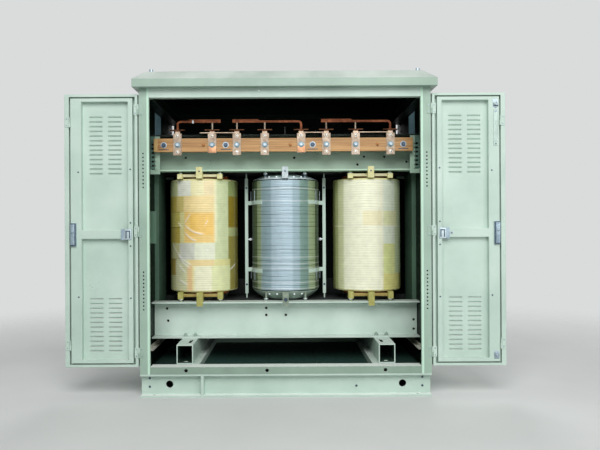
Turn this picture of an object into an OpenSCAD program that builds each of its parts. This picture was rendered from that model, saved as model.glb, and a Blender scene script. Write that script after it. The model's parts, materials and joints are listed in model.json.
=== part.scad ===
// Three-phase dry-type transformer: core and coils standing on skids in a
// sheet-steel cabinet whose two front doors swing flat against the outside.
// Millimetres, +Z up, the front faces -Y, the origin is on the floor under
// the middle of the cabinet. The doors are drawn open.

/* [Cabinet] */
// Width over the corner posts
body_w = 1970; // [1900:10:2200]
// Depth over the corner posts
body_d = 1230; // [1200:10:1500]
// Height of the corner posts
post_h = 1931; // [1920:1:2200]
// Width of a post's face
post_face = 67; // [55:1:90]
// Depth of a post's side flange
post_side = 60; // [45:1:90]
// Depth of the lip that stiffens a post's face
post_lip = 24; // [15:1:40]
// Thickness of the folded posts, sills and headers
post_t = 4; // [2.5:0.5:5]
// Thickness of the wall panels
panel_t = 2.5; // [1.5:0.5:4]
// Height of the header over the doors
header_h = 61; // [50:1:90]
// Depth of the header
header_d = 50; // [30:1:90]
// Height of the sill under the doors
sill_h = 50; // [40:1:70]
// Depth of the sill
sill_d = 90; // [60:1:90]
// Width of the headers along the sides
side_header_w = 78; // [50:1:100]
// Width of the stiffener on a side wall
stiffener_w = 280; // [180:1:320]
// Depth of the stiffener on a side wall
stiffener_d = 30; // [15:1:45]
// Width of the light gap in a rear post
light_gap_w = 10; // [6:1:14]
// Height of the light gap in a rear post
light_gap_h = 290; // [200:1:320]
// Depth of the pans that close the rear
rear_pan_d = 25; // [15:1:40]
// Gap between the two rear pans
rear_pan_gap = 0.5; // [0.5:0.5:4]

/* [Base] */
// Height of the base channels
base_h = 155; // [120:1:200]
// Flange width of the base channels
base_flange = 60; // [50:1:80]
// Thickness of the base channels
base_t = 12; // [8:1:14]
// Radius of a lifting hole in the base
lift_hole_r = 25; // [15:1:30]
// Distance of a lifting hole from the end of the base
lift_hole_inset = 190; // [150:1:260]
// Radius of an anchor hole in the base
anchor_hole_r = 11; // [7:1:14]
// Distance of an anchor hole from the end of the base
anchor_inset = 90; // [60:1:120]
// Distance of the base rib from the left end
rib_inset = 410; // [350:1:600]
// Thickness of the base rib
rib_t = 18; // [8:1:24]
// Thickness of the floor plates
floor_t = 3; // [2:0.5:6]
// Distance of the seam between the floor plates from the middle
floor_seam = 223; // [100:1:300]
// Gap between the floor plates
floor_gap = 2; // [1:0.5:4]
// Radius of the small holes in the base
base_hole_r = 7; // [4:1:9]
// Distance of the upper small holes below the top of the base
base_hole_drop = 35; // [30:1:45]
// Height of the lower small holes
base_hole_low = 62; // [50:1:70]

/* [Roof] */
// Overhang of the roof at the sides
roof_side = 34; // [20:1:60]
// Overhang of the roof at the front and rear
roof_front = 60; // [55:1:90]
// Height of the roof's upright edge
fascia_h = 53; // [40:1:80]
// Rise of the roof's sloping border
roof_rise = 67; // [40:1:100]
// Width of the roof's sloping border
roof_slope = 82; // [60:1:120]
// Thickness of the roof sheet
roof_t = 3; // [2:0.5:5]
// Width of the ledge under the roof's edge
roof_ledge = 115; // [105:1:140]
// Radius of a lifting plug on the roof
plug_r = 14; // [10:1:20]
// Height of a lifting plug on the roof
plug_h = 19; // [10:1:24]
// Distance of a lifting plug from the roof's edges
plug_inset = 110; // [100:1:160]

/* [Doors] */
// Width of a door
door_w = 493; // [440:1:560]
// Gap between the sill's top and a door's bottom edge
door_lift = 2; // [0:1:8]
// Distance of a door's top below the roof
door_drop = 38; // [20:1:60]
// Depth of a door's folded edge
door_t = 40; // [32:1:50]
// Thickness of the door sheet
skin_t = 2; // [1.5:0.5:3]
// Width of the folded lip on the hinge side, top and bottom
door_lip = 17; // [12:1:22]
// Width of the folded lip on the free side
free_lip = 31; // [20:1:36]
// Groove between the lips and the inner frame
door_groove = 9; // [5:1:12]
// Groove between the hinge-side lip and the inner frame
hinge_groove = 17; // [9:1:20]
// Width of the free-side stile
free_stile = 72; // [60:1:90]
// Width of the hinge-side stile
hinge_stile = 31; // [24:1:40]
// Height of the top and bottom rails of the inner frame
door_rail = 22; // [16:1:30]
// Height of the crossbar
crossbar_h = 57; // [40:1:70]
// Height of the crossbar's middle above the door's bottom
crossbar_z = 895; // [800:1:1000]
// Step from a door's lip down to its inner frame
frame_step = 3; // [2:1:6]
// Distance of the crossbar's end from the inner frame's hinge side
crossbar_stop = 74; // [50:1:90]

/* [Latches] */
// Width of a latch case
case_w = 38; // [30:1:50]
// Height of a latch case
case_h = 155; // [120:1:180]
// Depth of a latch case
case_d = 14; // [8:1:20]
// Width of the clip at the crossbar's end
clip_w = 72; // [60:1:80]
// Height of that clip
clip_h = 74; // [60:1:90]
// Thickness of that clip
clip_t = 3; // [2:0.5:5]
// Distance of the clip from the inner frame's hinge side
clip_inset = 9; // [4:1:16]
// Length of the clip's slot
clip_slot = 46; // [30:1:56]
// Radius of the clip's slot
clip_slot_r = 6; // [4:1:8]
// Width of the latch bar
rod_w = 30; // [16:1:36]
// Thickness of the latch bar
rod_t = 4; // [3:0.5:6]
// Length of the latch bar
rod_l = 245; // [180:1:300]
// Distance of the latch bar's middle from the free edge of the stile
rod_inset = 24; // [20:1:40]
// Distance of the latch bar below the top of the inner frame
rod_drop = 87; // [70:1:110]
// Radius of a latch roller
roller_r = 14; // [8:1:16]
// Length of a latch roller
roller_l = 12; // [8:1:16]
// Distance of a roller from the end of the inner frame
roller_inset = 44; // [30:1:56]

/* [Hinges] */
// Radius of a hinge knuckle
knuckle_r = 6; // [5:0.5:9]
// Radius of a hinge pin
pin_r = 3; // [2:0.5:4]
// Radial clearance of a hinge pin
pin_clear = 0.05; // [0.02:0.01:0.1]
// Height of a hinge
hinge_h = 70; // [50:1:90]
// Width of a hinge leaf
hinge_leaf = 23; // [16:1:30]
// Thickness of a hinge leaf
leaf_t = 3; // [2:0.5:4]
// Gap between a post and its door when open
door_gap = 10; // [8:1:16]
// Gap between the halves of a hinge
hinge_gap = 0.5; // [0.3:0.1:0.8]
// Gap between a knuckle and the edge of its leaf
leaf_gap = 1; // [0.5:0.5:2]
// Distance of the bottom hinge above the door's bottom
hinge_low = 96; // [80:1:140]
// Distance of the middle hinge below the door's middle
hinge_mid = 7; // [0:1:20]
// Distance of the top hinge below the door's top
hinge_high = 105; // [80:1:140]
// Distance of the lower hinge half on a door's free edge above the door's bottom
fold_low = 150; // [120:1:200]
// Distance of the upper hinge half on a door's free edge below the door's top
fold_high = 187; // [150:1:240]

/* [Louvres] */
// Width of a louvre
louvre_w = 92; // [70:1:110]
// Height of a louvre's slot
louvre_slot = 9; // [6:1:18]
// Distance between louvres
louvre_pitch = 32; // [28:1:40]
// Depth of a louvre's hood
louvre_d = 11; // [6:1:14]
// Gap between the two columns of louvres
louvre_gap = 36; // [24:1:50]
// Distance of the louvres from the door's hinge edge
louvre_inset = 117; // [100:1:130]
// Louvres in a top column
top_louvres = 13; // [6:1:14]
// Louvres in a bottom column
bottom_louvres = 12; // [6:1:14]
// Height of the lowest louvre above the door's bottom
louvre_low = 100; // [80:1:140]
// Distance of the highest louvre below the door's top
louvre_high = 152; // [120:1:180]

/* [Core and coils] */
// Gap between an outer coil and the side of the cabinet
coil_wall = 102; // [80:1:120]
// Gap between two coils
coil_gap = 115; // [100:1:150]
// Gap from the jumper bars up to the roof
headroom = 168; // [120:1:300]
// Rounding of a coil's shoulders
coil_shoulder = 14; // [6:1:24]
// Thickness of a winding
winding_t = 70; // [50:1:90]
// Distance between the grooves of the open winding
turn_pitch = 33; // [24:1:44]
// Depth and width of those grooves
turn_groove = 3; // [1:0.5:5]
// Wall of the tube that a coil is wound on
tube_wall = 8; // [4:0.5:8]
// Length of that tube beyond each end of its coil
tube_reach = 25; // [10:1:40]
// Clearance between the tube and its coil
tube_clear = 0.3; // [0.2:0.1:0.6]
// Clearance between a limb's corners and the tube round it
limb_clear = 1.2; // [0.5:0.1:4]
// Depth of the core's yokes
yoke_d = 330; // [310:1:340]
// Height of the core clamps
clamp_h = 264; // [220:1:280]
// Flange width of the core clamps
clamp_flange = 110; // [80:1:120]
// Thickness of the core clamps
clamp_t = 10; // [8:1:14]
// Gap between a clamp's end and the wall
clamp_gap = 4; // [2:1:20]
// Height of the blocks under a coil
bottom_block_h = 69; // [60:1:90]
// Height of the blocks over a coil
top_block_h = 53; // [45:1:80]
// Width of a coil block
block_w = 38; // [30:1:56]
// Depth of a coil block
block_d = 55; // [40:1:60]
// Distance of a coil block outside its winding tube
block_set = 7; // [4:1:20]
// Distance of a coil's centre block outside its winding tube
centre_set = 34; // [20:1:40]
// Distance of a coil block's middle from the side of its coil
block_inset = 110; // [90:1:140]
// Length of the jack bolt between a block and its clamp
jack_h = 18; // [10:1:24]
// Radius of the jack bolts
jack_r = 8; // [5:1:10]
// Height of the bridge between two blocks above the coil's end
bridge_z = 14; // [8:1:20]
// Height of that bridge
bridge_h = 21; // [14:1:26]
// Thickness of that bridge
bridge_t = 18; // [10:1:24]
// Width of a coil's centre tab
tab_w = 45; // [36:1:60]
// Thickness of a coil's centre tab
tab_t = 6; // [4:1:8]
// Length of a tab over its clamp
tab_lap = 30; // [12:1:34]
// Width of a phase tie bar
tie_w = 24; // [16:1:32]
// Thickness of a phase tie bar
tie_t = 8; // [5:1:12]
// Gap between a tie bar and the middle coil
tie_gap = 32; // [20:1:40]
// Radius of a tie bar's studs
tie_stud_r = 6; // [4:1:8]
// Distance of a tie bar's lower band from the coil's lower end
band_inset = 151; // [100:1:200]
// Distance of a tie bar's upper band from the coil's upper end
band_drop = 172; // [120:1:220]
// Height of those bands
band_h = 30; // [20:1:40]
// Thickness of those bands
band_t = 4; // [3:0.5:6]
// Angle that a band covers
band_angle = 96; // [60:1:110]
// Width of the perforated brackets at the upper clamps' ends
bracket_w = 71; // [50:1:90]
// Thickness of those brackets
bracket_t = 6; // [4:1:8]
// Distance of those brackets below the upper clamps
bracket_drop = 22; // [10:1:40]
// Distance between the slots of those brackets
bracket_pitch = 31; // [26:1:40]
// Length of those slots between their round ends
bracket_slot = 17; // [10:1:24]
// Radius of those slots
bracket_slot_r = 7; // [4:1:9]

/* [Skids] */
// Width of a skid tube
skid_w = 114; // [100:1:150]
// Height of a skid tube
skid_h = 132; // [100:1:150]
// Wall of a skid tube
skid_t = 7; // [5:1:10]
// Distance of a skid tube's middle from the side of the cabinet
skid_inset = 287; // [240:1:340]
// Distance of the slot in a skid's bottom from its end
skid_slot_low = 45; // [30:1:80]
// Distance of the slot in a skid's top from its end
skid_slot_high = 130; // [110:1:180]
// Length of the slot in a skid's top
skid_slot_l = 90; // [60:1:120]
// Radius of the slots in a skid
skid_slot_r = 11; // [8:1:14]
// Width of the floor rail beside its skid
rail_side = 45; // [20:1:60]
// Gap between the sill and the skids
skid_gap = 5; // [2:1:20]
// Height of the ledges on the side walls above the skids' bottom
ledge_z = 58; // [40:1:80]
// Leg of the ledges on the side walls
ledge_leg = 30; // [20:1:40]
// Length of the ledges on the side walls
ledge_l = 700; // [500:10:900]
// Distance of the plate on the left wall behind the cabinet's front
wall_plate_set = 115; // [90:1:160]
// Width of the plate on the left wall
wall_plate_w = 87; // [60:1:110]
// Height of the plate on the left wall
wall_plate_h = 223; // [160:1:260]
// Height of the bottom of the plate on the left wall
wall_plate_z = 1037; // [900:1:1100]

/* [Terminals] */
// Distance of the terminal board's left end from the upper clamp's end
board_left = 35; // [15:1:60]
// Distance of the terminal board's right end from the upper clamp's end
board_right = 55; // [15:1:60]
// Height of the terminal board
board_h = 96; // [80:1:120]
// Thickness of the terminal board
board_t = 40; // [30:1:50]
// Height of the board's bottom above the upper clamp's bottom
board_z = 135; // [120:1:145]
// Gap from the clamp's edge to the back of the board
board_gap = 15; // [8:1:24]
// Width and depth of the seams in the board
board_seam = 1.5; // [1:0.5:3]
// Width of the strip at the board's left end
board_strip = 28; // [20:1:40]
// Radius of the pegs in the board
peg_r = 9; // [5:1:12]
// Length of the pegs in front of the board
peg_l = 9; // [4:1:14]
// Distance of a peg from the middle of its coil
peg_x = 40; // [20:1:60]
// Radius of the board's stand-offs
standoff_r = 16; // [10:1:20]
// Distance of the outer stand-offs from the board's ends
standoff_inset = 70; // [50:1:90]
// Distance of the inner stand-offs from the middle of a coil
standoff_x = 200; // [180:1:220]
// Width of a terminal strap
strap_w = 60; // [50:1:70]
// Height of a long terminal strap
strap_h = 156; // [120:1:170]
// Height of a short terminal strap
short_strap_h = 140; // [110:1:150]
// Thickness of a terminal strap
strap_t = 6; // [4:1:10]
// Height of a strap's top above the board's top
strap_top = 34; // [20:1:50]
// Width of the lug behind a strap
lug_w = 34; // [24:1:50]
// Thickness of the lug behind a strap
lug_t = 6; // [4:1:8]
// Width of the plate on a lug
plate_w = 105; // [80:1:115]
// Depth of the plate on a lug
plate_d = 46; // [30:1:60]
// Thickness of the plate on a lug
plate_t = 5; // [3:1:8]
// Height of the plate above its strap's top
plate_z = 24; // [16:1:34]
// Height of the link bars above the straps' tops
link_z = 5; // [2:1:8]
// Depth of the link bars
link_d = 30; // [20:1:40]
// Distance of the first link bar's end from its strap
link_reach = 90; // [50:1:100]
// Height of the jumper bars' underside above the straps' tops
jumper_z = 80; // [60:1:110]
// Height of a jumper bar
jumper_h = 15; // [10:1:26]
// Height of a jumper bar's deeper end
deep_h = 24; // [20:1:40]
// Thickness of a jumper bar
jumper_t = 6; // [4:1:10]
// Inner radius of a jumper bar's bend
jumper_bend = 14; // [6:1:20]
// Radius of a jumper's support pin
jumper_pin_r = 8; // [5:0.5:10]
// Distance of the jumper bars behind the board's front
jumper_set = 12; // [8:1:16]

/* [Side vents] */
// Width of a side vent
vent_w = 224; // [160:1:300]
// Height of a side vent
vent_h = 176; // [120:1:220]
// Distance of a side vent's top below the roof
vent_drop = 66; // [62:1:90]
// Pitch of a side vent's bars
vent_pitch = 16; // [12:1:24]
// Width of a side vent's bars
vent_bar = 4; // [2:0.5:6]

/* [Hidden] */
$fn = 48;
eps = 1;

// Colours
sage = "#b9d1c3";
sage_shade = "#a9c4b4";
zinc = "#b4c0c8";
core_steel = "#4a4f52";
film_yellow = "#e2cf86";
foil = "#c8d4de";
tube_brown = "#a8672e";
board_tan = "#c98a4b";
strap_tin = "#c9ab92";
copper = "#b56a45";

// Heights, from the floor up
floor_z = base_h + sill_h;
clamp_z = floor_z + skid_h;
post_top = base_h + post_h;
jumper_low = post_top - headroom - jumper_h;
strap_top_z = jumper_low - jumper_z;
plate_top = strap_top_z + plate_z + plate_t;
board_bottom = strap_top_z - strap_top - board_h;
upper_z = board_bottom - board_z;
coil_z = clamp_z + clamp_h + bottom_block_h;
coil_top = upper_z - top_block_h;
coil_h = coil_top - coil_z;
vent_top = post_top - vent_drop;

// Planes across the depth
front_y = -body_d / 2;
side_x = body_w / 2;
wall_x = side_x - panel_t;
clamp_front = -yoke_d / 2 - clamp_flange;
web_front = -yoke_d / 2 - clamp_t;
board_back = clamp_front - board_gap;
board_front = board_back - board_t;
jumper_y = board_front + jumper_set;
skid_front = front_y + sill_d + skid_gap;
clamp_half = wall_x - clamp_gap;
skid_x = side_x - skid_inset;

// Coils side by side across the cabinet, and what stands inside and beside them
coil_r = (body_w - 2 * coil_wall - 2 * coil_gap) / 6;
coil_pitch = 2 * coil_r + coil_gap;
tube_r = coil_r - winding_t;
limb_r = tube_r - tube_wall - limb_clear;
// Corners of a limb's steps, as angles on the circle that they share
limb_steps = [25, 43, 65];
block_x = coil_r - block_inset;
block_y = -tube_r - block_set - block_d;
tie_x = coil_r + tie_gap + tie_w / 2;

// Doors and hinges
hinge_x = side_x + door_gap / 2;
hinge_y = front_y - knuckle_r;
door_x = side_x + door_gap;
door_z = floor_z + door_lift;
door_h = post_top - door_drop - door_z;
door_top = door_z + door_h;
hinge_zs = [door_z + hinge_low, door_z + door_h / 2 - hinge_mid, door_top - hinge_high];
fold_x = door_x + door_w - free_lip - door_groove / 2;
fold_zs = [door_z + fold_low, door_top - fold_high];
frame_front = front_y + frame_step;
skin_inner = front_y + door_t - skin_t;
skin_outer = front_y + door_t;
frame_lo = [door_x + door_lip + hinge_groove, door_z + door_lip + door_groove];
frame_hi = [door_x + door_w - free_lip - door_groove, door_top - door_lip - door_groove];
bar_z = door_z + crossbar_z;

// Straps along the board, as multiples of the distance between two coils
strap_places = [-1.234, -0.836, -0.552, -0.231, 0.188, 0.477, 0.813, 1.214];
strap_xs = [for (p = strap_places) p * coil_pitch];
short_straps = [1, 4];
board_lo = -clamp_half + board_left;
board_hi = clamp_half - board_right;
standoff_xs = [
    board_lo + standoff_inset, standoff_x - coil_pitch, standoff_x, board_hi - standoff_inset
];
// Links run from one strap to the next, the first reaching past its strap
links = [[1, 2, link_reach], [4, 5, 0], [6, 7, 0]];
// Each jumper rises from a strap and runs past another; then its reach and deeper end
jumpers = [[0, 1, 60, 224], [4, 2, 32, 189], [7, 5, 37, 219]];
pin_straps = [1, 2, 3, 5, 6];

// Holes that show in the posts, clamps, sill and base
post_hole_r = 5.5;
post_hole_inset = 27;
post_hole_pitch = 25.4;
post_hole_rows = [[593, 11], [1419, 10]];
sill_hole_r = 12;
sill_hole_xs = [310 - side_x, -128, side_x - 313];
upper_hole_r = 9;
upper_holes = [
    [238 - clamp_half, 110], [69, 106], [clamp_half - 438, 52], [clamp_half - 389, 111],
    [clamp_half - 237, 110], [clamp_half - 72, 73]
];
lower_hole_r = 10;
lower_holes = [
    [92 - clamp_half, clamp_h - 58], [100 - clamp_half, clamp_h - 149], [-146, clamp_h - 58],
    [-146, clamp_h - 110], [0, clamp_h - 110], [clamp_half - 24, clamp_h - 149], [clamp_half - 24, 45]
];
base_hole_zs = [base_h - base_hole_drop, base_hole_low];
base_holes = [
    for (x = [55 - side_x, side_x - 55], z = base_hole_zs) [x, z],
    [side_x - 505, base_hole_low]
];

// Shapes that repeat

module box(lo, hi) {
    translate(lo) cube(hi - lo);
}

module left_and_right() {
    children();
    mirror([1, 0, 0]) children();
}

module front_and_rear() {
    children();
    mirror([0, 1, 0]) children();
}

// Carries an outline of depth and height along the width
module along_x(length) {
    rotate([90, 0, 90]) linear_extrude(length, center = true) children();
}

// Round bar along the depth, for a hole or a stand-off
module hole_y(x, y, z, r, depth) {
    translate([x, y, z]) rotate([-90, 0, 0]) cylinder(r = r, h = depth);
}

// Channel outline, open towards the front, its web at the back
module channel_outline(height, flange, t) {
    difference() {
        square([flange, height]);
        translate([-eps, t]) square([flange - t + eps, height - 2 * t]);
    }
}

// Base

module base_channel(holes) {
    color(sage) difference() {
        translate([0, front_y, 0]) along_x(body_w) channel_outline(base_h, base_flange, base_t);
        left_and_right() {
            hole_y(side_x - lift_hole_inset, front_y, base_h / 2, lift_hole_r, base_flange + eps);
            translate([side_x - anchor_inset, front_y + (base_flange - base_t) / 2, -eps])
                cylinder(r = anchor_hole_r, h = base_t + 2 * eps);
        }
        for (h = holes) hole_y(h[0], front_y, h[1], base_hole_r, base_flange + eps);
    }
}

module base_front_channel() {
    base_channel(base_holes);
}

module base_rear_channel() {
    mirror([0, 1, 0]) base_channel([]);
}

module base_side_channels() {
    color(sage) left_and_right()
        translate([side_x, 0, 0]) mirror([1, 0, 0]) rotate([90, 0, 0])
            linear_extrude(body_d - 2 * base_flange, center = true)
                channel_outline(base_h, base_flange, base_t);
}

module base_rib() {
    color(sage)
        box([-side_x + rib_inset, front_y, base_t],
            [-side_x + rib_inset + rib_t, front_y + base_flange - base_t, base_h - base_t]);
}

module floor_plate() {
    end = side_x - base_flange / 2;
    color(sage_shade) for (x = [[-end, floor_seam - floor_gap], [floor_seam, end]])
        box([x[0], front_y + sill_d, base_h], [x[1], -front_y - sill_d, base_h + floor_t]);
}

module floor_rails() {
    color(sage) left_and_right()
        box([skid_x - skid_w / 2 - rail_side, skid_front, base_h + floor_t],
            [skid_x + skid_w / 2, -skid_front, floor_z]);
}

// Cabinet frame

// Folded sill: face, top and a back lip
module sill_outline() {
    square([post_t, sill_h]);
    translate([0, sill_h - post_t]) square([sill_d, post_t]);
    translate([sill_d - post_t, 0]) square([post_t, sill_h]);
}

module sill(hole_xs) {
    color(sage) difference() {
        translate([0, front_y, base_h]) along_x(body_w - 2 * post_face) sill_outline();
        for (x = hole_xs)
            hole_y(x, front_y - eps, base_h + sill_h / 2, sill_hole_r, post_t + 2 * eps);
    }
}

module front_sill() {
    sill(sill_hole_xs);
}

module rear_sill() {
    mirror([0, 1, 0]) sill([]);
}

// Folded header: face, underside and a back lip
module header_outline(depth) {
    square([post_t, header_h]);
    square([depth, post_t]);
    translate([depth - post_t, 0]) square([post_t, header_h]);
}

module header() {
    color(sage) translate([0, front_y, post_top - header_h])
        along_x(body_w - 2 * post_face) header_outline(header_d);
}

module front_header() {
    header();
}

module rear_header() {
    mirror([0, 1, 0]) header();
}

module side_headers() {
    color(sage) left_and_right()
        translate([wall_x, 0, post_top - header_h]) mirror([1, 0, 0]) rotate([90, 0, 0])
            linear_extrude(body_d - 2 * post_side, center = true) header_outline(side_header_w);
}

// Right front post: face, side flange and the lip inside the opening
module post(hole_rows) {
    color(sage) difference() {
        translate([0, 0, base_h]) linear_extrude(post_h) {
            translate([side_x - post_face, front_y]) square([post_face, post_t]);
            translate([side_x - post_t, front_y]) square([post_t, post_side]);
            translate([side_x - post_face, front_y]) square([post_t, post_lip]);
        }
        for (row = hole_rows, i = [0 : row[1] - 1])
            hole_y(side_x - post_hole_inset, front_y - eps, row[0] + i * post_hole_pitch,
                   post_hole_r, post_t + 2 * eps);
    }
}

module front_right_post() {
    post(post_hole_rows);
}

module front_left_post() {
    mirror([1, 0, 0]) post(post_hole_rows);
}

// Rear post: light shows through a gap beside its side flange
module rear_post() {
    difference() {
        post([]);
        color(sage)
            box([side_x - post_t - light_gap_w, front_y - eps, post_top - light_gap_h],
                [side_x - post_t, front_y + post_t + eps, post_top + eps]);
    }
}

module rear_right_post() {
    mirror([0, 1, 0]) rear_post();
}

module rear_left_post() {
    mirror([1, 0, 0]) mirror([0, 1, 0]) rear_post();
}

// Walls

module side_panel() {
    color(sage) difference() {
        box([wall_x, front_y + post_side, base_h],
            [side_x, -front_y - post_side, post_top]);
        box([wall_x - eps, -vent_w / 2, vent_top - vent_h],
            [side_x + eps, vent_w / 2, vent_top]);
    }
}

module right_side_panel() {
    side_panel();
}

module left_side_panel() {
    mirror([1, 0, 0]) side_panel();
}

// Wire grille that fills a side vent
module side_vents() {
    rows = floor(vent_h / vent_pitch) - 1;
    columns = floor(vent_w / vent_pitch) - 1;
    color(zinc) left_and_right()
        translate([wall_x, 0, vent_top - vent_h / 2]) rotate([90, 0, 90])
            linear_extrude(panel_t) difference() {
                square([vent_w, vent_h], center = true);
                for (i = [0 : columns], k = [0 : rows])
                    translate([(i - columns / 2) * vent_pitch, (k - rows / 2) * vent_pitch])
                        square(vent_pitch - vent_bar, center = true);
            }
}

// Hat channel up the middle of each side wall, between the ledge and the vent
module side_stiffeners() {
    low = floor_z + ledge_z + 2 * ledge_leg;
    high = vent_top - vent_h - vent_pitch;
    color(sage) left_and_right() difference() {
        box([wall_x - stiffener_d, -stiffener_w / 2, low], [wall_x, stiffener_w / 2, high]);
        box([wall_x - stiffener_d + panel_t, -stiffener_w / 2 + panel_t, low - eps],
            [wall_x + eps, stiffener_w / 2 - panel_t, high + eps]);
    }
}

// Two louvred pans close the rear
module rear_panels() {
    low = rear_pan_gap / 2;
    high = side_x - post_face;
    pan_h = post_top - header_h - floor_z;
    louvre_x = (low + high - louvre_gap) / 2 - louvre_w;
    color(sage) left_and_right() difference() {
        union() {
            difference() {
                box([low, -front_y - rear_pan_d, floor_z], [high, -front_y, floor_z + pan_h]);
                box([low + panel_t, -front_y - rear_pan_d - eps, floor_z + panel_t],
                    [high - panel_t, -front_y - panel_t, floor_z + pan_h - panel_t]);
            }
            translate([0, -front_y, 0]) louvre_blocks(louvre_x, floor_z, pan_h, 0) hood(panel_t);
        }
        translate([0, -front_y, 0])
            louvre_blocks(louvre_x, floor_z, pan_h, panel_t) hood_hollow(panel_t);
    }
}

// Angle ledges along the side walls beside the skids
module side_ledges() {
    color("#d9d6c4") left_and_right()
        translate([wall_x, 0, floor_z + ledge_z]) rotate([90, 0, 0])
            linear_extrude(ledge_l, center = true) {
                translate([-post_t, 0]) square([post_t, ledge_leg]);
                translate([-ledge_leg, 0]) square([ledge_leg, post_t]);
            }
}

// Bent plate on the left wall, facing the front
module wall_plate() {
    y = front_y + wall_plate_set;
    top = wall_plate_z + wall_plate_h;
    color(sage_shade) {
        box([-wall_x, y, wall_plate_z], [wall_plate_w - wall_x, y + post_t, top]);
        box([-wall_x, y, wall_plate_z], [post_t - wall_x, y + wall_plate_w, top]);
    }
}

// Roof: an upright edge and a sloping border round a flat top
module roof_form(inset, drop) {
    half_w = side_x + roof_side - inset;
    half_d = body_d / 2 + roof_front - inset;
    low = post_top + inset;
    edge = post_top + fascia_h - drop / 2;
    top = post_top + fascia_h + roof_rise - drop;
    intersection() {
        rotate([90, 0, 0]) linear_extrude(2 * half_d, center = true)
            polygon([[-half_w, low], [half_w, low], [half_w, edge], [half_w - roof_slope, top],
                     [-half_w + roof_slope, top], [-half_w, edge]]);
        along_x(2 * half_w)
            polygon([[-half_d, low], [half_d, low], [half_d, edge], [half_d - roof_slope, top],
                     [-half_d + roof_slope, top], [-half_d, edge]]);
    }
}

module roof() {
    open_x = side_x + roof_side - roof_ledge;
    open_y = body_d / 2 + roof_front - roof_ledge;
    color(sage) difference() {
        roof_form(0, 0);
        roof_form(roof_t, roof_t);
        box([-open_x, -open_y, post_top - eps], [open_x, open_y, post_top + roof_t + eps]);
    }
}

module lifting_plugs() {
    color(zinc) left_and_right() front_and_rear()
        translate([side_x + roof_side - plug_inset, body_d / 2 + roof_front - plug_inset,
                   post_top + fascia_h + roof_rise])
            cylinder(r = plug_r, h = plug_h);
}

// Fixed half of a lift-off hinge on an axis at x = 0: leaf, knuckle and standing pin
module hinge_pin_half(z) {
    half = hinge_h / 2;
    edge = -knuckle_r - leaf_gap;
    box([edge - hinge_leaf, front_y - leaf_t, z - half], [edge, front_y, z + half]);
    box([edge - eps, front_y - leaf_t, z - half], [0, front_y, z - hinge_gap]);
    translate([0, hinge_y, z - half]) cylinder(r = knuckle_r, h = half - hinge_gap);
    translate([0, hinge_y, z - half]) cylinder(r = pin_r, h = hinge_h - 2 * hinge_gap);
}

// Lifting half of that hinge, with a bore over the pin
module hinge_eye_half(z) {
    half = hinge_h / 2;
    edge = knuckle_r + leaf_gap;
    difference() {
        union() {
            box([edge, front_y - leaf_t, z - half], [edge + hinge_leaf, front_y, z + half]);
            box([0, front_y - leaf_t, z + hinge_gap], [edge + eps, front_y, z + half]);
            translate([0, hinge_y, z + hinge_gap]) cylinder(r = knuckle_r, h = half - hinge_gap);
        }
        translate([0, hinge_y, z]) cylinder(r = pin_r + pin_clear, h = half + eps);
    }
}

module post_hinges() {
    color(sage) for (z = hinge_zs) translate([hinge_x, 0, 0]) hinge_pin_half(z);
}

module right_post_hinges() {
    post_hinges();
}

module left_post_hinges() {
    mirror([1, 0, 0]) post_hinges();
}

// Skids, core and coils

module skid() {
    left = skid_x - skid_w / 2;
    right = skid_x + skid_w / 2;
    color(sage) difference() {
        box([left, skid_front, floor_z], [right, -skid_front, clamp_z]);
        box([left + skid_t, skid_front - eps, floor_z + skid_t],
            [right - skid_t, -skid_front + eps, clamp_z - skid_t]);
        front_and_rear() {
            translate([skid_x, skid_front + skid_slot_low, floor_z - eps])
                slot(2 * skid_slot_r, skid_slot_r, skid_t + 2 * eps);
            translate([skid_x - 2 * skid_slot_r, skid_front + skid_slot_high, clamp_z - skid_t - eps])
                rotate([0, 0, 90]) slot(skid_slot_l, skid_slot_r, skid_t + 2 * eps);
        }
    }
}

// Upright slot with round ends, as long between its centres as given
module slot(length, r, height) {
    for (s = [-1, 1]) translate([s * length / 2, 0, 0]) cylinder(r = r, h = height);
    translate([-length / 2, -r, 0]) cube([length, 2 * r, height]);
}

module right_skid() {
    skid();
}

module left_skid() {
    mirror([1, 0, 0]) skid();
}

// Clamp channel in front of a yoke, its flanges towards the front
module clamp(z, holes, r) {
    color(sage) difference() {
        translate([0, clamp_front, z]) along_x(2 * clamp_half)
            channel_outline(clamp_h, clamp_flange, clamp_t);
        for (h = holes) hole_y(h[0], web_front - eps, z + h[1], r, clamp_t + 2 * eps);
    }
}

module lower_front_clamp() {
    clamp(clamp_z, lower_holes, lower_hole_r);
}

module lower_rear_clamp() {
    mirror([0, 1, 0]) clamp(clamp_z, [], lower_hole_r);
}

module upper_front_clamp() {
    clamp(upper_z, upper_holes, upper_hole_r);
}

module upper_rear_clamp() {
    mirror([0, 1, 0]) clamp(upper_z, [], upper_hole_r);
}

// Perforated plates that hold the upper clamps' ends to the side walls
module clamp_brackets() {
    low = upper_z - bracket_drop;
    height = bracket_drop + clamp_h - clamp_t;
    slots = floor(height / bracket_pitch) - 1;
    slot_x = wall_x - bracket_slot - bracket_slot_r;
    color(sage_shade) left_and_right() front_and_rear() difference() {
        box([wall_x - bracket_w, clamp_front - bracket_t, low], [wall_x, clamp_front, low + height]);
        for (i = [1 : slots])
            translate([slot_x, clamp_front - bracket_t - eps, low + i * bracket_pitch])
                rotate([-90, 0, 0]) slot(bracket_slot, bracket_slot_r, bracket_t + 2 * eps);
    }
}

module core_yokes() {
    half = coil_pitch + limb_r * cos(limb_steps[0]);
    color(core_steel) for (z = [clamp_z, upper_z])
        box([-half, -yoke_d / 2, z], [half, yoke_d / 2, z + clamp_h]);
}

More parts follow.
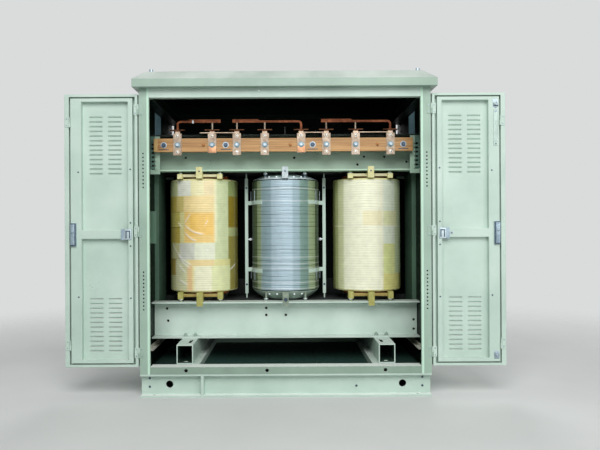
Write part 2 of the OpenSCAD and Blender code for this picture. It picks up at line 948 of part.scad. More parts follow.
// Stepped limbs of stacked sheet, as near round as the steps allow
module core_limbs() {
    low = clamp_z + clamp_h;
    color(core_steel) for (x = [-1, 0, 1]) translate([x * coil_pitch, 0, low])
        linear_extrude(upper_z - low)
            for (a = limb_steps) square([2 * limb_r * cos(a), 2 * limb_r * sin(a)], center = true);
}

module winding_tubes() {
    color(tube_brown) for (x = [-1, 0, 1])
        translate([x * coil_pitch, 0, coil_z - tube_reach]) difference() {
            cylinder(r = tube_r, h = coil_h + 2 * tube_reach);
            translate([0, 0, -eps])
                cylinder(r = tube_r - tube_wall, h = coil_h + 2 * tube_reach + 2 * eps);
        }
}

// Section of a wound ring whose shoulders are rounded over
module coil_outline() {
    inner = tube_r + tube_clear;
    translate([inner, 0]) square([coil_r - coil_shoulder - inner, coil_h]);
    translate([inner, coil_shoulder]) square([coil_r - inner, coil_h - 2 * coil_shoulder]);
    for (z = [coil_shoulder, coil_h - coil_shoulder])
        translate([coil_r - coil_shoulder, z]) circle(coil_shoulder);
}

module coil(place) {
    translate([place * coil_pitch, 0, coil_z]) rotate_extrude() children();
}

module left_coil() {
    color(film_yellow) coil(-1) coil_outline();
}

// The open winding: grooves part its bands of turns
module middle_coil() {
    bands = floor((coil_h - 2 * coil_shoulder) / turn_pitch);
    color(foil) coil(0) difference() {
        coil_outline();
        for (i = [1 : bands - 1])
            translate([coil_r - turn_groove, i * coil_h / bands - turn_groove / 2])
                square([turn_groove + eps, turn_groove]);
    }
}

module right_coil() {
    color(film_yellow) coil(1) coil_outline();
}

// Centre block at a coil's end, drawn upwards from it, whose tab laps over the clamp's edge
module centre_block(height) {
    box([-tab_w / 2, clamp_front, 0], [tab_w / 2, -tube_r - centre_set, height]);
    box([-tab_w / 2, clamp_front - tab_t, 0], [tab_w / 2, clamp_front, height + tab_lap]);
}

// Blocks at an outer coil's end: two side blocks under jack bolts, joined to the centre by a bridge
module outer_blocks(height) {
    bridge_y = block_y + (block_d - bridge_t) / 2;
    for (s = [-1, 1]) {
        box([s * block_x - block_w / 2, block_y, 0],
            [s * block_x + block_w / 2, block_y + block_d, height - jack_h]);
        translate([s * block_x, block_y + block_d / 2, height - jack_h - eps])
            cylinder(r = jack_r, h = jack_h + eps);
    }
    box([-block_x, bridge_y, bridge_z], [block_x, bridge_y + bridge_t, bridge_z + bridge_h]);
    centre_block(height);
}

// At the middle coil's end the jack bolts stand on the winding itself
module middle_blocks(height) {
    for (s = [-1, 1]) translate([s * block_x, block_y + block_d + jack_r, 0])
        cylinder(r = jack_r, h = height);
    centre_block(height);
}

module bottom_blocks() {
    color(film_yellow) translate([0, 0, coil_z]) mirror([0, 0, 1]) front_and_rear() {
        for (x = [-1, 1]) translate([x * coil_pitch, 0, 0]) outer_blocks(bottom_block_h);
        middle_blocks(bottom_block_h);
    }
}

module top_blocks() {
    color(film_yellow) translate([0, 0, coil_top]) front_and_rear() {
        for (x = [-1, 1]) translate([x * coil_pitch, 0, 0]) outer_blocks(top_block_h);
        middle_blocks(top_block_h);
    }
}

// Flat bars in the core's windows, on studs between the yokes, with bands that steady the coil
module tie_bars() {
    low = clamp_z + clamp_h;
    stud = bottom_block_h / 2;
    color(sage) left_and_right() {
        box([tie_x - tie_w / 2, -tie_t / 2, low + stud], [tie_x + tie_w / 2, tie_t / 2, upper_z - stud]);
        translate([tie_x, 0, low]) cylinder(r = tie_stud_r, h = stud + eps);
        translate([tie_x, 0, upper_z - stud - eps]) cylinder(r = tie_stud_r, h = stud + eps);
        for (z = [coil_z + band_inset, coil_top - band_drop]) translate([0, 0, z - band_h / 2]) {
            rotate([0, 0, -band_angle / 2]) rotate_extrude(angle = band_angle)
                translate([coil_r + tube_clear, 0]) square([band_t, band_h]);
            box([coil_r + tube_clear + band_t / 2, -tie_t / 2, 0], [tie_x, tie_t / 2, band_h]);
        }
    }
}

// Terminals

// Laminated board with a seam along it, a strip at its left end and pegs
module terminal_board() {
    mid_z = board_bottom + board_h / 2;
    top = board_bottom + board_h;
    seam_x = board_lo + board_strip;
    seam_y = board_front + board_seam;
    color(board_tan) {
        difference() {
            box([board_lo, board_front, board_bottom], [board_hi, board_back, top]);
            box([board_lo - eps, board_front - eps, mid_z], [board_hi + eps, seam_y, mid_z + board_seam]);
            box([seam_x, board_front - eps, board_bottom - eps], [seam_x + board_seam, seam_y, top + eps]);
        }
        for (x = [-1, 0, 1])
            hole_y(x * coil_pitch + peg_x, board_front - peg_l, mid_z, peg_r, peg_l + board_t / 2);
    }
}

module board_standoffs() {
    color(zinc) for (x = standoff_xs)
        hole_y(x, board_back, board_bottom + board_h / 2, standoff_r, web_front - board_back);
}

module terminal_straps() {
    color(strap_tin) for (i = [0 : len(strap_xs) - 1]) {
        h = len(search(i, short_straps)) > 0 ? short_strap_h : strap_h;
        box([strap_xs[i] - strap_w / 2, board_front - strap_t, strap_top_z - h],
            [strap_xs[i] + strap_w / 2, board_front, strap_top_z]);
    }
}

// Angle lugs behind the straps, each with a level plate, and the link bars between them
module strap_lugs() {
    back = board_front + lug_t;
    low = board_bottom + board_h;
    plate_low = plate_top - plate_t;
    color(strap_tin) {
        for (x = strap_xs) {
            box([x - lug_w / 2, board_front, low], [x + lug_w / 2, back, plate_top]);
            box([x - plate_w / 2, board_front - strap_t, plate_low],
                [x + plate_w / 2, board_front - strap_t + plate_d, plate_top]);
        }
        for (l = links)
            box([strap_xs[l[0]] - l[2], back - eps, strap_top_z + link_z],
                [strap_xs[l[1]], back + link_d, strap_top_z + link_z + plate_t]);
    }
}

// Side view of a jumper that rises at x = 0 and runs level to a deeper end
module jumper_outline(run, deep_l) {
    turn = jumper_h / 2 + jumper_bend;
    rise = jumper_low - jumper_bend;
    translate([-jumper_h / 2, plate_top]) square([jumper_h, rise - plate_top]);
    translate([turn, jumper_low]) square([run - turn, jumper_h]);
    translate([run - deep_l, jumper_low]) square([deep_l, deep_h]);
    intersection() {
        translate([turn, rise]) difference() {
            circle(jumper_h + jumper_bend);
            circle(jumper_bend);
        }
        translate([-jumper_h / 2, rise]) square(jumper_h + jumper_bend);
    }
}

module jumper_bars() {
    color(copper) for (j = jumpers) {
        x = strap_xs[j[0]];
        end = strap_xs[j[1]];
        translate([x, jumper_y + jumper_t / 2, 0]) mirror([end < x ? 1 : 0, 0, 0])
            rotate([90, 0, 0]) linear_extrude(jumper_t) jumper_outline(abs(end - x) + j[2], j[3]);
    }
}

module jumper_pins() {
    color(zinc) for (i = pin_straps)
        translate([strap_xs[i], jumper_y, plate_top])
            cylinder(r = jumper_pin_r, h = jumper_low - plate_top);
}

// Doors, drawn on the right and mirrored for the left

// Places a panel's louvres, each the given outline: two columns of a low and a high block
module louvre_blocks(x, z, h, inset) {
    top_z = z + h - louvre_high - (top_louvres - 1) * louvre_pitch;
    for (c = [0, 1], block = [[z + louvre_low, bottom_louvres], [top_z, top_louvres]])
        translate([x + c * (louvre_w + louvre_gap) + inset, 0, block[0]]) rotate([90, 0, 90])
            linear_extrude(louvre_w - 2 * inset) for (i = [0 : block[1] - 1])
                translate([0, i * louvre_pitch]) children();
}

// Side view of a louvre's hood on a sheet whose outside is at 0
module hood(t) {
    polygon([[-t / 2, louvre_slot + t], [-t / 2, 0], [louvre_d, 0], [louvre_d, t]]);
}

// The room under that hood and its slot through the sheet
module hood_hollow(t) {
    polygon([[-t - eps, -eps], [louvre_d - t, -eps], [louvre_d - t, t / 2], [0, louvre_slot],
             [-t - eps, louvre_slot]]);
}

module door_pan() {
    louvre_x = door_x + louvre_inset;
    color(sage) difference() {
        union() {
            difference() {
                box([door_x, front_y, door_z], [door_x + door_w, skin_outer, door_top]);
                box([door_x + skin_t, front_y + skin_t, door_z + skin_t],
                    [door_x + door_w - skin_t, skin_inner, door_top - skin_t]);
                box([door_x + door_lip, front_y - eps, door_z + door_lip],
                    [door_x + door_w - free_lip, front_y + skin_t + eps, door_top - door_lip]);
            }
            translate([0, skin_outer, 0]) louvre_blocks(louvre_x, door_z, door_h, 0) hood(skin_t);
        }
        translate([0, skin_outer, 0])
            louvre_blocks(louvre_x, door_z, door_h, skin_t) hood_hollow(skin_t);
    }
}

// Stiles, rails and crossbar inside the pan, each drawn in by its wall for the hollow behind
module frame_bars(wall) {
    front = frame_front + wall;
    back = skin_inner + (wall > 0 ? eps : 0);
    bars = [
        [frame_lo, [frame_lo[0] + hinge_stile, frame_hi[1]]],
        [[frame_hi[0] - free_stile, frame_lo[1]], frame_hi],
        [frame_lo, [frame_hi[0], frame_lo[1] + door_rail]],
        [[frame_lo[0], frame_hi[1] - door_rail], frame_hi],
        [[frame_lo[0] + crossbar_stop, bar_z - crossbar_h / 2], [frame_hi[0], bar_z + crossbar_h / 2]]
    ];
    for (b = bars)
        box([b[0][0] + wall, front, b[0][1] + wall], [b[1][0] - wall, back, b[1][1] - wall]);
}

module door_frame() {
    color(sage) difference() {
        frame_bars(0);
        frame_bars(skin_t);
    }
}

// Latch case on the free stile and the slotted clip between the crossbar and the hinge stile
module door_latch() {
    clip_x = frame_lo[0] + clip_inset;
    color(zinc) {
        box([frame_hi[0] - case_w, frame_front - case_d, bar_z - case_h / 2],
            [frame_hi[0], frame_front, bar_z + case_h / 2]);
        difference() {
            box([clip_x, frame_front - clip_t, bar_z - clip_h / 2],
                [clip_x + clip_w, frame_front, bar_z + clip_h / 2]);
            translate([clip_x + clip_w / 2, frame_front - clip_t - eps, bar_z])
                rotate([-90, 0, 0]) rotate([0, 0, 90]) slot(clip_slot, clip_slot_r, clip_t + 2 * eps);
        }
    }
}

// Latch bar and the rollers at both ends of the free stile, on the door that closes last
module latch_rods() {
    x = frame_hi[0] - rod_inset;
    top = frame_hi[1] - rod_drop;
    color(zinc) {
        box([x - rod_w / 2, frame_front - rod_t, top - rod_l], [x + rod_w / 2, frame_front, top]);
        for (z = [frame_lo[1] + roller_inset, frame_hi[1] - roller_inset])
            hole_y(x, frame_front - roller_l, z, roller_r, roller_l);
    }
}

// Lifting halves on the post's pins, and the pin halves on the free edge
module door_hinges() {
    color(sage) {
        for (z = hinge_zs) translate([hinge_x, 0, 0]) hinge_eye_half(z);
        for (z = fold_zs) translate([fold_x, 0, 0]) mirror([1, 0, 0]) hinge_pin_half(z);
    }
}

module right_door_pan() {
    door_pan();
}

module left_door_pan() {
    mirror([1, 0, 0]) door_pan();
}

module right_door_frame() {
    door_frame();
}

module left_door_frame() {
    mirror([1, 0, 0]) door_frame();
}

module right_door_latch() {
    door_latch();
    latch_rods();
}

module left_door_latch() {
    mirror([1, 0, 0]) door_latch();
}

module right_door_hinges() {
    door_hinges();
}

module left_door_hinges() {
    mirror([1, 0, 0]) door_hinges();
}

base_front_channel();
base_rear_channel();
base_side_channels();
base_rib();
floor_plate();
floor_rails();
front_sill();
rear_sill();
front_left_post();
front_right_post();
rear_left_post();
rear_right_post();
front_header();
rear_header();
side_headers();
left_side_panel();
right_side_panel();
side_vents();
side_stiffeners();
rear_panels();
side_ledges();
wall_plate();
roof();
lifting_plugs();
left_post_hinges();
right_post_hinges();
left_skid();
right_skid();
lower_front_clamp();
lower_rear_clamp();
upper_front_clamp();
upper_rear_clamp();
clamp_brackets();
core_yokes();
core_limbs();
winding_tubes();
left_coil();
middle_coil();
right_coil();
bottom_blocks();
top_blocks();
tie_bars();
terminal_board();
board_standoffs();
terminal_straps();
strap_lugs();
jumper_bars();
jumper_pins();
left_door_pan();
left_door_frame();
left_door_latch();
left_door_hinges();
right_door_pan();
right_door_frame();
right_door_latch();
right_door_hinges();
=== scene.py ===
import json
import math

import bpy
import numpy as np
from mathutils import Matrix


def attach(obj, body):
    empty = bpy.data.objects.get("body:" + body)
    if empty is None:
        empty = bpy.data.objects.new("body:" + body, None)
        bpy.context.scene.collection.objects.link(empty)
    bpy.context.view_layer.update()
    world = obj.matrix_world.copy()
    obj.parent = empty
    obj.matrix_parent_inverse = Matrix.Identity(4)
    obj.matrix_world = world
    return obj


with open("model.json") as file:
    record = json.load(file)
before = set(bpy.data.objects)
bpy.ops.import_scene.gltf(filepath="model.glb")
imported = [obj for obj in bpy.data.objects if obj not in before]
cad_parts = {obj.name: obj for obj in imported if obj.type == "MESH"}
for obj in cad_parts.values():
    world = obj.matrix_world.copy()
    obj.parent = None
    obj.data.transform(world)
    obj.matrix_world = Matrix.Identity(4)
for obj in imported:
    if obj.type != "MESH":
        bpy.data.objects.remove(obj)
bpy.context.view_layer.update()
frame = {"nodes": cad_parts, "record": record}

# Places that the pieces below share, in metres, as the solids have them
COIL_X = 0.627
COILS = (-COIL_X, 0, COIL_X)
COIL_R = 0.256
COIL_LOW, COIL_HIGH = 0.670, 1.505
WRAP_INSET, WRAP_END_R = 0.012, 0.254
FILM_EDGE_R, FILM_CORE_R = 0.252, 0.180
SHOULDER_TOP, SKIRT_FOOT = 1.537, 0.612
JACK_X = 0.146
OUTER_JACK_Y, MIDDLE_JACK_Y = 0.2205, 0.185
JACK_TOP, JACK_FOOT = 1.540, 0.619
BRIDGE_FRONT = -0.2295
BODY_FRONT, BODY_REAR, BODY_SIDE = -0.615, 0.615, 0.985
LEAF_FRONT = BODY_FRONT - 0.003
WEB_FRONT = -0.567
FRAME_FRONT = -0.612
CASE_FRONT = -0.626
COVER_FRONT = CASE_FRONT - 0.003
BOARD_FRONT = -0.330
STRAP_FRONT = -0.336
PEG_FRONT = -0.339
BOARD_MID = 1.741
STRAP_TOP, STRAP_FOOT = 1.807, 1.689
SHORT_LUG_Z, DARK_STRIP_Z = 1.708, 1.709
TAB_FRONT = -0.281
STRAP_X = np.array([-1.234, -0.836, -0.552, -0.231, 0.188, 0.477, 0.813, 1.214]) * COIL_X
LONG_STRAPS = (0, 2, 3, 5, 6, 7)
SHORT_STRAPS = (1, 4)
STANDOFF_X = (-0.8735, -0.427, 0.200, 0.8535)
HINGE_X = 0.990
HINGE_Z = (0.303, 1.1205, 1.943)
FOLD_X = 1.4525
FOLD_Z = (0.357, 1.861)
LEAF_SCREW_X, LEAF_SCREW_Z = 0.0185, 0.022
LATCH_X, LATCH_Z = 1.429, 1.102
COVER_X = LATCH_X + 0.004
CLIP_X, CLIP_FRONT = 1.062, -0.615
CLIP_FACE = CLIP_FRONT - 0.002
BAR_SCREW_X, BAR_SCREW_Z = 1.124, 1.104
ROD_X = 1.424
ROLLER_Z = (0.277, 1.978)
LOUVRE_X, LOUVRE_Z = 0.4576, (0.487, 1.688)
SHADE_PLATE_Y = 0.6123
TIE_X, TIE_FRONT = 0.300, -0.004
TIE_ENDS, STAY_Z = (1.450, 0.705), 1.053
BAND_Z = (0.821, 1.333)
SKID_X, SKID_MID = 0.698, 0.271
WASHER_T = 0.003

# Turns that lay a shape's own z axis along a direction of the part
FRONT = np.array([[1, 0, 0], [0, 0, -1], [0, 1, 0]], float)
REAR = np.array([[-1, 0, 0], [0, 0, 1], [0, 1, 0]], float)
RIGHT = np.array([[0, 0, 1], [1, 0, 0], [0, 1, 0]], float)
UP = np.eye(3)
DOWN = np.diag([1.0, -1.0, -1.0])


# Shapes: each is its points and a list of face arrays

def quads_over(index):
    """Quads between neighbouring rows and columns of a grid of point numbers."""
    corners = [index[:-1, :-1], index[:-1, 1:], index[1:, 1:], index[1:, :-1]]
    return np.stack(corners, axis=-1).reshape(-1, 4)


def grid(points, round_rows=False):
    """A surface through a grid of points; round_rows joins each row's end to its start."""
    index = np.arange(points.shape[0] * points.shape[1]).reshape(points.shape[:2])
    if round_rows:
        index = np.concatenate([index, index[:, :1]], axis=1)
    return points.reshape(-1, 3), [quads_over(index)]


def lathe(profile, sides):
    """A profile of radius and height turned about z: (r cos a, r sin a, h), from pole to pole."""
    profile = np.asarray(profile, float)
    a = np.arange(sides) * 2 * np.pi / sides
    r, h = profile[1:-1, 0, None], profile[1:-1, 1, None]
    rings = np.stack([r * np.cos(a), r * np.sin(a), h + 0 * a], axis=-1)
    points, faces = grid(rings, True)
    poles = np.array([[0, 0, profile[0, 1]], [0, 0, profile[-1, 1]]])
    first, last = np.arange(sides), np.arange(sides) + len(points) - sides
    low, high = np.full(sides, len(points)), np.full(sides, len(points) + 1)
    fans = [np.stack([low, np.roll(first, -1), first], -1), np.stack([high, last, np.roll(last, -1)], -1)]
    return np.concatenate([points, poles]), faces + fans


def plate(width, height, thick, edge):
    """A rounded rectangle carried up its thickness, drawn in at the top along a quarter circle."""
    corner = 4
    a = np.linspace(0, np.pi / 2, corner)
    turn = np.concatenate([a + k * np.pi / 2 for k in range(4)])
    sign = np.repeat(np.array([[1, 1], [-1, 1], [-1, -1], [1, -1]]), corner, axis=0)
    rise = min(edge, 0.5 * thick)
    b = np.linspace(0, np.pi / 2, 4)
    inset = np.concatenate([[0], rise * (1 - np.cos(b))])
    level = np.concatenate([[0], thick - rise + rise * np.sin(b)])
    around = np.stack([np.cos(turn), np.sin(turn)], -1)
    flat = sign * (np.array([width, height]) / 2 - edge) + (edge - inset)[:, None, None] * around
    up = np.broadcast_to(level[:, None, None], flat.shape[:2] + (1,))
    shape, faces = grid(np.concatenate([flat, up], -1), True)
    ring = np.arange(4 * corner)
    return shape, faces + [ring[::-1][None], (ring + len(shape) - 4 * corner)[None]]


def rod(start, end, radius):
    """A round bar from one point to another: a circle carried along the line between them."""
    start, end = np.asarray(start, float), np.asarray(end, float)
    length = np.linalg.norm(end - start)
    along = (end - start) / length
    side = np.cross(along, [0.3, 0.5, 0.8])
    side /= np.linalg.norm(side)
    turn = np.stack([side, np.cross(along, side), along], axis=1)
    tip = 0.4 * radius
    points, faces = lathe([(0, 0), (radius - tip, 0), (radius, tip), (radius, length - tip),
                           (radius - tip, length), (0, length)], 10)
    return points @ turn.T + start, faces


def at(shape, places, turn=UP):
    """The shape turned and repeated at each place: every place added to every point."""
    points, faces = shape
    places = np.atleast_2d(np.asarray(places, float))
    moved = (points @ turn.T)[None] + places[:, None]
    step = np.arange(len(places)) * len(points)
    return moved.reshape(-1, 3), [(f[None] + step[:, None, None]).reshape(-1, f.shape[1]) for f in faces]


def joined(shapes):
    """Several shapes as one list of points and faces."""
    starts = np.cumsum([0] + [len(p) for p, f in shapes])
    faces = [f + s for (p, fs), s in zip(shapes, starts) for f in fs]
    return np.concatenate([p for p, f in shapes]), faces


def mirrored(shape, axis=0):
    """The shape reflected in one axis, with its faces turned back to point outwards."""
    points, faces = shape
    return points * np.where(np.arange(3) == axis, -1, 1), [f[:, ::-1] for f in faces]


def both_ways(shape, axis=0):
    """The shape and its reflection."""
    return joined([shape, mirrored(shape, axis)])


def piece(name, body, shapes, material, sharp=40):
    """One object from the shapes, at the origin, riding on its body."""
    points, faces = joined(shapes)
    mesh = bpy.data.meshes.new(name)
    mesh.from_pydata(points.tolist(), [], [f for group in faces for f in group.tolist()])
    mesh.shade_smooth()
    mesh.set_sharp_from_angle(angle=math.radians(sharp))
    mesh.materials.append(material)
    thing = bpy.data.objects.new(name, mesh)
    bpy.context.scene.collection.objects.link(thing)
    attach(thing, body)
    return thing


# Fasteners, each standing on z = 0

def dome_bolt(head, rim):
    """Round-headed bolt on a washer: a step, then a quarter ellipse up to the pole."""
    thick = 0.25 * head
    a = np.linspace(0, np.pi / 2, 5)[:-1]
    dome = [(head * math.cos(t), thick + 0.75 * head * math.sin(t)) for t in a]
    return lathe([(0, 0), (rim, 0), (rim, thick), *dome, (0, thick + 0.75 * head)], 16)


def hex_bolt(head, rim, stud=0.0):
    """Six-sided head with a cut corner on a round washer, and a stud's end where it is a nut."""
    t, h = 0.18 * head, 0.75 * head
    disc = lathe([(0, 0), (rim, 0), (rim, t), (0, t)], 20)
    nut = lathe([(0, t), (head, t), (head, t + 0.85 * h), (0.87 * head, t + h), (0, t + h)], 6)
    end = lathe([(0, t + h - 0.001), (0.5 * head, t + h - 0.001), (0.5 * head, t + h + stud),
                 (0.42 * head, t + h + stud + 0.001), (0, t + h + stud + 0.001)], 12)
    return joined([disc, nut, end] if stud else [disc, nut])


def washer(radius):
    """Flat round disc."""
    return lathe([(0, 0), (radius, 0), (radius, WASHER_T), (0, WASHER_T)], 24)


def pan_screw(head):
    """Low round screw head with a hollow drive in the middle."""
    return lathe([(0, 0), (head, 0), (head, 0.25 * head), (0.8 * head, 0.5 * head), (0.4 * head, 0.55 * head),
                  (0.32 * head, 0.25 * head), (0, 0.2 * head)], 14)


# Materials

def linear(colour):
    """An sRGB hex colour as linear red, green, blue and 1."""
    parts = np.array([int(colour[i:i + 2], 16) for i in (1, 3, 5)]) / 255
    return (*np.where(parts <= 0.04045, parts / 12.92, ((parts + 0.055) / 1.055) ** 2.4).tolist(), 1.0)


def add(tree, kind, inputs=None, stops=None, **settings):
    """Adds one node with its settings, its sockets' values or links, and a ramp's stops."""
    node = tree.nodes.new(kind)
    for key, value in settings.items():
        setattr(node, key, value)
    for key, value in (inputs or {}).items():
        if isinstance(value, bpy.types.NodeSocket):
            tree.links.new(value, node.inputs[key])
        else:
            node.inputs[key].default_value = value
    if stops:
        ramp = node.color_ramp
        while len(ramp.elements) < len(stops):
            ramp.elements.new(0.5)
        for element, (place, colour) in zip(ramp.elements, stops):
            element.position = place
            element.color = linear(colour) if isinstance(colour, str) else (colour, colour, colour, 1)
    return node


def start(name):
    """A new material, its node tree and its Object coordinates."""
    material = bpy.data.materials.new(name)
    material.use_nodes = True
    tree = material.node_tree
    tree.nodes.clear()
    return material, tree, add(tree, "ShaderNodeTexCoord").outputs["Object"]


def end(tree, **sockets):
    """The shader with its sockets, joined to the output."""
    inputs = {key.replace("_", " "): value for key, value in sockets.items()}
    shader = add(tree, "ShaderNodeBsdfPrincipled", inputs)
    add(tree, "ShaderNodeOutputMaterial", {"Surface": shader.outputs["BSDF"]})


def per(mm):
    """Texture scale for a pattern of that size in millimetres."""
    return 1000 / mm


def painted(name, light, mid, shade, bare, gloss=(0.34, 0.5), wear_and_highlight=1.0, dust="#DDE3DE",
            painted_tone=None, middle=(0, 0, 1.1), across=(1, 1, 1), above=10.0, under=0.0, inside=0.0):
    """Baked enamel on folded sheet steel: soft mottling, faint orange peel, dust on what faces up, a few chips
    down to the primer, paler edges of worn paint and painted highlight. A painted tone, with less gloss, goes on
    the faces that look towards the middle, across the axes given, and on all above one height, under another or
    inside a half width: painted shade on most pieces, painted light on a few."""
    material, tree, place = start(name)
    cloud = add(tree, "ShaderNodeTexNoise", {"Vector": place, "Scale": per(260), "Detail": 5.0})
    colour = add(tree, "ShaderNodeValToRGB", {"Fac": cloud.outputs["Fac"]},
                 [(0.3, shade), (0.5, mid), (0.7, light)]).outputs["Color"]
    normal = add(tree, "ShaderNodeNewGeometry")
    shine = 0.5
    if painted_tone:
        # A face looks in where its normal, in the piece's own frame, points back towards the middle
        out = add(tree, "ShaderNodeMapping", {"Vector": place, "Scale": across,
                                              "Location": tuple(-m * a for m, a in zip(middle, across))})
        own = add(tree, "ShaderNodeVectorTransform", {"Vector": normal.outputs["Normal"]}, vector_type="NORMAL",
                  convert_from="WORLD", convert_to="OBJECT")
        facing = add(tree, "ShaderNodeVectorMath", {0: out.outputs["Vector"], 1: own.outputs["Vector"]},
                     operation="DOT_PRODUCT")
        inward = add(tree, "ShaderNodeMath", {0: facing.outputs["Value"], 1: -0.001}, operation="LESS_THAN")
        spot = add(tree, "ShaderNodeSeparateXYZ", {"Vector": place})
        half = add(tree, "ShaderNodeMath", {0: spot.outputs["X"]}, operation="ABSOLUTE")
        zones = [(spot.outputs["Z"], above, "GREATER_THAN"), (spot.outputs["Z"], under, "LESS_THAN"),
                 (half.outputs["Value"], inside, "LESS_THAN")]
        for value, bound, side in zones:
            zone = add(tree, "ShaderNodeMath", {0: value, 1: bound}, operation=side)
            inward = add(tree, "ShaderNodeMath", {0: inward.outputs["Value"], 1: zone.outputs["Value"]},
                         operation="MAXIMUM")
        # The painted tone replaces the paint's colour on these faces
        painted_colour = add(tree, "ShaderNodeValToRGB", {"Fac": cloud.outputs["Fac"]},
                    [(0.3, painted_tone[0]), (0.7, painted_tone[1])])
        colour = add(tree, "ShaderNodeMix", {0: inward.outputs["Value"], 6: colour, 7: painted_colour.outputs["Color"]},
                     data_type="RGBA").outputs["Result"]
        # A face in the painted tone loses most of its gloss
        shine = add(tree, "ShaderNodeMath", {0: inward.outputs["Value"], 1: -0.42, 2: 0.5},
                    operation="MULTIPLY_ADD").outputs["Value"]
    # A bevelled normal differs from the true one only near an edge, where paint wears thin; the paler edge is worn
    # paint and also a painted highlight along the folds
    bevel = add(tree, "ShaderNodeBevel", {"Radius": 0.003}, samples=4)
    near = add(tree, "ShaderNodeVectorMath", {0: bevel.outputs["Normal"], 1: normal.outputs["Normal"]},
               operation="DOT_PRODUCT")
    edge = add(tree, "ShaderNodeValToRGB", {"Fac": near.outputs["Value"]}, [(0.75, wear_and_highlight), (0.98, 0.0)])
    rub = add(tree, "ShaderNodeTexNoise", {"Vector": place, "Scale": per(30), "Detail": 3.0})
    edge_wear_and_highlight = add(tree, "ShaderNodeMath", {0: edge.outputs["Color"], 1: rub.outputs["Fac"]}, operation="MULTIPLY")
    worn_and_highlit = add(tree, "ShaderNodeMix", {0: edge_wear_and_highlight.outputs["Value"], 6: colour, 7: linear("#E6F0EA")},
               data_type="RGBA")
    # Chips, about 6 mm across, only where a broad patch of handling lets them
    chip = add(tree, "ShaderNodeTexNoise", {"Vector": place, "Scale": per(9), "Detail": 2.0})
    patch = add(tree, "ShaderNodeTexNoise", {"Vector": place, "Scale": per(300), "Detail": 1.0})
    where = add(tree, "ShaderNodeMath", {0: chip.outputs["Fac"], 1: patch.outputs["Fac"]}, operation="MULTIPLY")
    chipped = add(tree, "ShaderNodeValToRGB", {"Fac": where.outputs["Value"]}, [(0.475, 0.0), (0.49, 0.7)])
    chips = add(tree, "ShaderNodeMix", {0: chipped.outputs["Color"], 6: worn_and_highlit.outputs["Result"], 7: linear(bare)},
                data_type="RGBA")
    # Dust settles where the surface faces up
    up = add(tree, "ShaderNodeSeparateXYZ", {"Vector": normal.outputs["Normal"]})
    settle = add(tree, "ShaderNodeMath", {0: up.outputs["Z"], 1: cloud.outputs["Fac"]}, operation="MULTIPLY",
                 use_clamp=True)
    if painted_tone:
        settle = add(tree, "ShaderNodeMath", {0: settle.outputs["Value"], 1: inward.outputs["Value"]},
                     operation="SUBTRACT", use_clamp=True)
    skin = add(tree, "ShaderNodeMix", {0: settle.outputs["Value"], 6: chips.outputs["Result"], 7: linear(dust)},
               data_type="RGBA")
    peel = add(tree, "ShaderNodeTexNoise", {"Vector": place, "Scale": per(5), "Detail": 2.0})
    bump = add(tree, "ShaderNodeBump", {"Strength": 0.12, "Distance": 0.0006, "Height": peel.outputs["Fac"],
                                        "Normal": bevel.outputs["Normal"]})
    rough = add(tree, "ShaderNodeValToRGB", {"Fac": rub.outputs["Fac"]}, [(0.3, gloss[0]), (0.7, gloss[1])])
    end(tree, Base_Color=skin.outputs["Result"], Roughness=rough.outputs["Color"], Normal=bump.outputs["Normal"],
        Specular_IOR_Level=shine)
    return material


def plated(name, light, shade, grain_mm, rough, below=None):
    """Electroplated or bare metal: cloudy crystal patches that shift colour and gloss, fine scratches.
    Below a height it may have another light and shade."""
    material, tree, place = start(name)
    crystal = add(tree, "ShaderNodeTexVoronoi", {"Vector": place, "Scale": per(grain_mm)})
    cloud = add(tree, "ShaderNodeTexNoise", {"Vector": place, "Scale": per(grain_mm * 6), "Detail": 4.0})
    tone = add(tree, "ShaderNodeMix", {0: 0.35, 2: cloud.outputs["Fac"], 3: crystal.outputs["Color"]})
    colour = add(tree, "ShaderNodeValToRGB", {"Fac": tone.outputs["Result"]},
                 [(0.25, shade), (0.75, light)]).outputs["Color"]
    if below:
        level, low_light, low_shade = below
        height = add(tree, "ShaderNodeSeparateXYZ", {"Vector": place})
        under = add(tree, "ShaderNodeMath", {0: height.outputs["Z"], 1: level}, operation="LESS_THAN")
        other = add(tree, "ShaderNodeValToRGB", {"Fac": tone.outputs["Result"]},
                    [(0.25, low_shade), (0.75, low_light)])
        colour = add(tree, "ShaderNodeMix", {0: under.outputs["Value"], 6: colour, 7: other.outputs["Color"]},
                     data_type="RGBA").outputs["Result"]
    gloss = add(tree, "ShaderNodeValToRGB", {"Fac": tone.outputs["Result"]},
                [(0.2, rough + 0.14), (0.8, rough)])
    scratch = add(tree, "ShaderNodeTexNoise", {"Vector": place, "Scale": per(2), "Detail": 2.0})
    bump = add(tree, "ShaderNodeBump", {"Strength": 0.15, "Distance": 0.0002, "Height": scratch.outputs["Fac"]})
    end(tree, Base_Color=colour, Metallic=1.0, Roughness=gloss.outputs["Color"],
        Normal=bump.outputs["Normal"])
    return material


